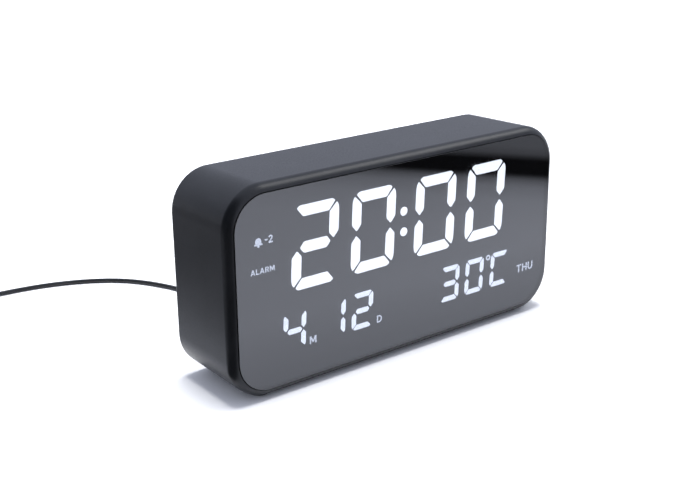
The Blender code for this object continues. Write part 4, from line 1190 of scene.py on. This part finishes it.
foot_parts = []
for node, place in zip(foot_nodes, foot_places):
    low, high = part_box(node)
    profile = ((0.0034, 0.0), (0.0037, 0.00005), (0.0039, 0.0002), (0.004, 0.0005), (0.004, high.z))
    foot_parts.append(loft("foot", [[(x, y, z) for x, y in circle(r, place, 40)] for r, z in profile]))
foot_rubber = moulded("soft_black_rubber", "#121315", "#1a1b1d", 0.8, 0.5, 0.02)
dress(closed(joined("rubber_feet", foot_parts)), foot_rubber, "clock", "foot_rubber", *foot_nodes)

# --------------------------------------
# Table and light
# A plain white table that runs past the view's edges, in an even white room,
# with a wide lamp above the clock's right and a fill straight overhead. What
# the glossy faces see of the floor and the room is a painted reflection on cards of its own.

TABLE_HALF = 6.0
table_mesh = bpy.data.meshes.new("table")
table_mesh.from_pydata(
    [(u * TABLE_HALF, v * TABLE_HALF, 0.0) for u, v in ((-1, -1), (1, -1), (1, 1), (-1, 1))], [],
    [(0, 1, 2, 3)]
)
table = show("table", table_mesh)
table_white, add, place = new_material("white_table_laminate")
# White laminate: a hint of unevenness, no pattern.
table_cloud = add("TexNoise", Vector=place, Scale=3.0, Detail=2.0)
table_tone = add("Mix", Factor=table_cloud, A="#f4f4f4", B="#f7f7f7", data_type="RGBA")
table_shader = add("BsdfPrincipled", Base_Color=table_tone, Roughness=0.9, Specular_IOR_Level=0.0)
add("OutputMaterial", Surface=table_shader)
table_mesh.materials.append(table_white)

# The cards are a painted reflection of the table and the room: the table's brightness falls away towards its far
# edge at the front right, past which the room is dim, it is painted dark beside the clock's front left, and a
# painted shadow of the clock dims the table just in front of it. Each corner's UV holds how far it is past the
# edge and how far it is from the clock's front, in metres.
EDGE_NEAR, EDGE_FAR = Vector((0.1707, -0.2415)), Vector((0.2341, -0.1572))
BEYOND = 1.2
ON_TABLE, IN_DARK, IN_SHADE, DISTANT = -0.07, 0.02, 0.062, 1.0
SIDE_X, SIDE_Y, BACK_X = -0.086, 0.0, -0.11
CARD_Z = 0.0006
WALL_X, WALL_TOP = -0.6, 1.2
edge_along = (EDGE_FAR - EDGE_NEAR).normalized()
edge_out = Vector((edge_along.y, -edge_along.x))


def past(x, y):
    """How far a point of the floor is past the table's edge."""
    return (Vector((x, y)) - EDGE_NEAR).dot(edge_out)


FRONT_Y = -0.0205
FRONT_CORNERS = ((SIDE_X, FRONT_Y), (SIDE_X, -BEYOND), (BEYOND, -BEYOND), (BEYOND, FRONT_Y))
cards = [[(x, y, CARD_Z, past(x, y), FRONT_Y - y) for x, y in FRONT_CORNERS]]
for beyond_edge, *flat in (
    (IN_DARK, (SIDE_X, -BEYOND), (SIDE_X, SIDE_Y), (-BEYOND, SIDE_Y), (-BEYOND, -BEYOND)),
    (ON_TABLE, (SIDE_X, SIDE_Y), (SIDE_X, BEYOND), (BACK_X, BEYOND), (BACK_X, SIDE_Y)),
    (IN_SHADE, (BACK_X, SIDE_Y), (BACK_X, BEYOND), (-BEYOND, BEYOND), (-BEYOND, SIDE_Y))
):
    cards.append([(x, y, CARD_Z, beyond_edge, DISTANT) for x, y in flat])
WALL_CORNERS = ((-BEYOND, 0.0), (0.8, 0.0), (0.8, WALL_TOP), (-BEYOND, WALL_TOP))
cards.append([(WALL_X, y, z, IN_DARK, DISTANT) for y, z in WALL_CORNERS])
corners = [corner for card in cards for corner in card]
card_mesh = bpy.data.meshes.new("reflected_room")
card_mesh.from_pydata(
    [corner[:3] for corner in corners], [], [tuple(range(4 * i, 4 * i + 4)) for i in range(len(cards))]
)
distances = card_mesh.uv_layers.new(name="distances")
for loop in card_mesh.loops:
    distances.data[loop.index].uv = corners[loop.vertex_index][3:]
room = show("reflected_room", card_mesh)
painted_room_reflection, add, place = new_material("reflected_room")
room_uv = add("UVMap", uv_map="distances")
room_split = add("SeparateXYZ", Vector=room_uv)
RAMP_FROM, RAMP_TO = -0.2, 0.3
edge_share = add("MapRange", Value=room_split.outputs["X"], From_Min=RAMP_FROM, From_Max=RAMP_TO)
falloff = add("ValToRGB", Fac=edge_share)
# Metres past the edge, and the brightness there.
ROOM_LEVELS = (
    (-0.2, 1.13), (-0.1, 1.09), (-0.05, 0.99), (-0.02, 0.76), (-0.005, 0.45), (0.005, 0.1), (0.01, 0.02),
    (0.042, 0.02), (0.05, 0.11), (0.06, 0.28), (0.08, 0.38), (0.3, 0.4)
)
ramp = falloff.color_ramp
ramp.elements.remove(ramp.elements[1])
for i, (distance, level) in enumerate(ROOM_LEVELS):
    position = (distance - RAMP_FROM) / (RAMP_TO - RAMP_FROM)
    stop = ramp.elements[0] if i == 0 else ramp.elements.new(position)
    stop.position, stop.color = position, (0.94 * level, 0.98 * level, 1.12 * level, 1.0)
# Painted shadow: the cards dim towards the clock's front, standing in for the clock's shadow on the table.
painted_contact_shadow = add(
    "MapRange", Value=room_split.outputs["Y"], From_Min=0.0, From_Max=0.06, To_Min=0.72, To_Max=1.0
)
room_shader = add("Emission", Color=falloff, Strength=painted_contact_shadow)
add("OutputMaterial", Surface=room_shader)
card_mesh.materials.append(painted_room_reflection)
room.visible_camera = room.visible_diffuse = room.visible_shadow = False

world = bpy.data.worlds.new("even_room")
scene.world = world
world.use_nodes = True
background = world.node_tree.nodes["Background"].inputs
background["Color"].default_value, background["Strength"].default_value = (0.9, 0.955, 1.14, 1.0), 0.72

# Each lamp: its direction, strength and width in degrees, and whether glossy faces show it.
for name, towards, energy, width, glossy in (
    ("soft_lamp", (0.62, -0.12, 0.76), 0.6, 30.0, True), ("soft_fill", (0.06, 0.03, 1.0), 3.2, 24.0, False)
):
    lamp = bpy.data.lights.new(name, "SUN")
    lamp.energy, lamp.angle = energy, radians(width)
    shown_lamp = show(name, lamp)
    shown_lamp.matrix_world = Vector(towards).to_track_quat("Z", "Y").to_matrix().to_4x4()
    shown_lamp.visible_glossy = glossy
scene.view_settings.view_transform = "Standard"
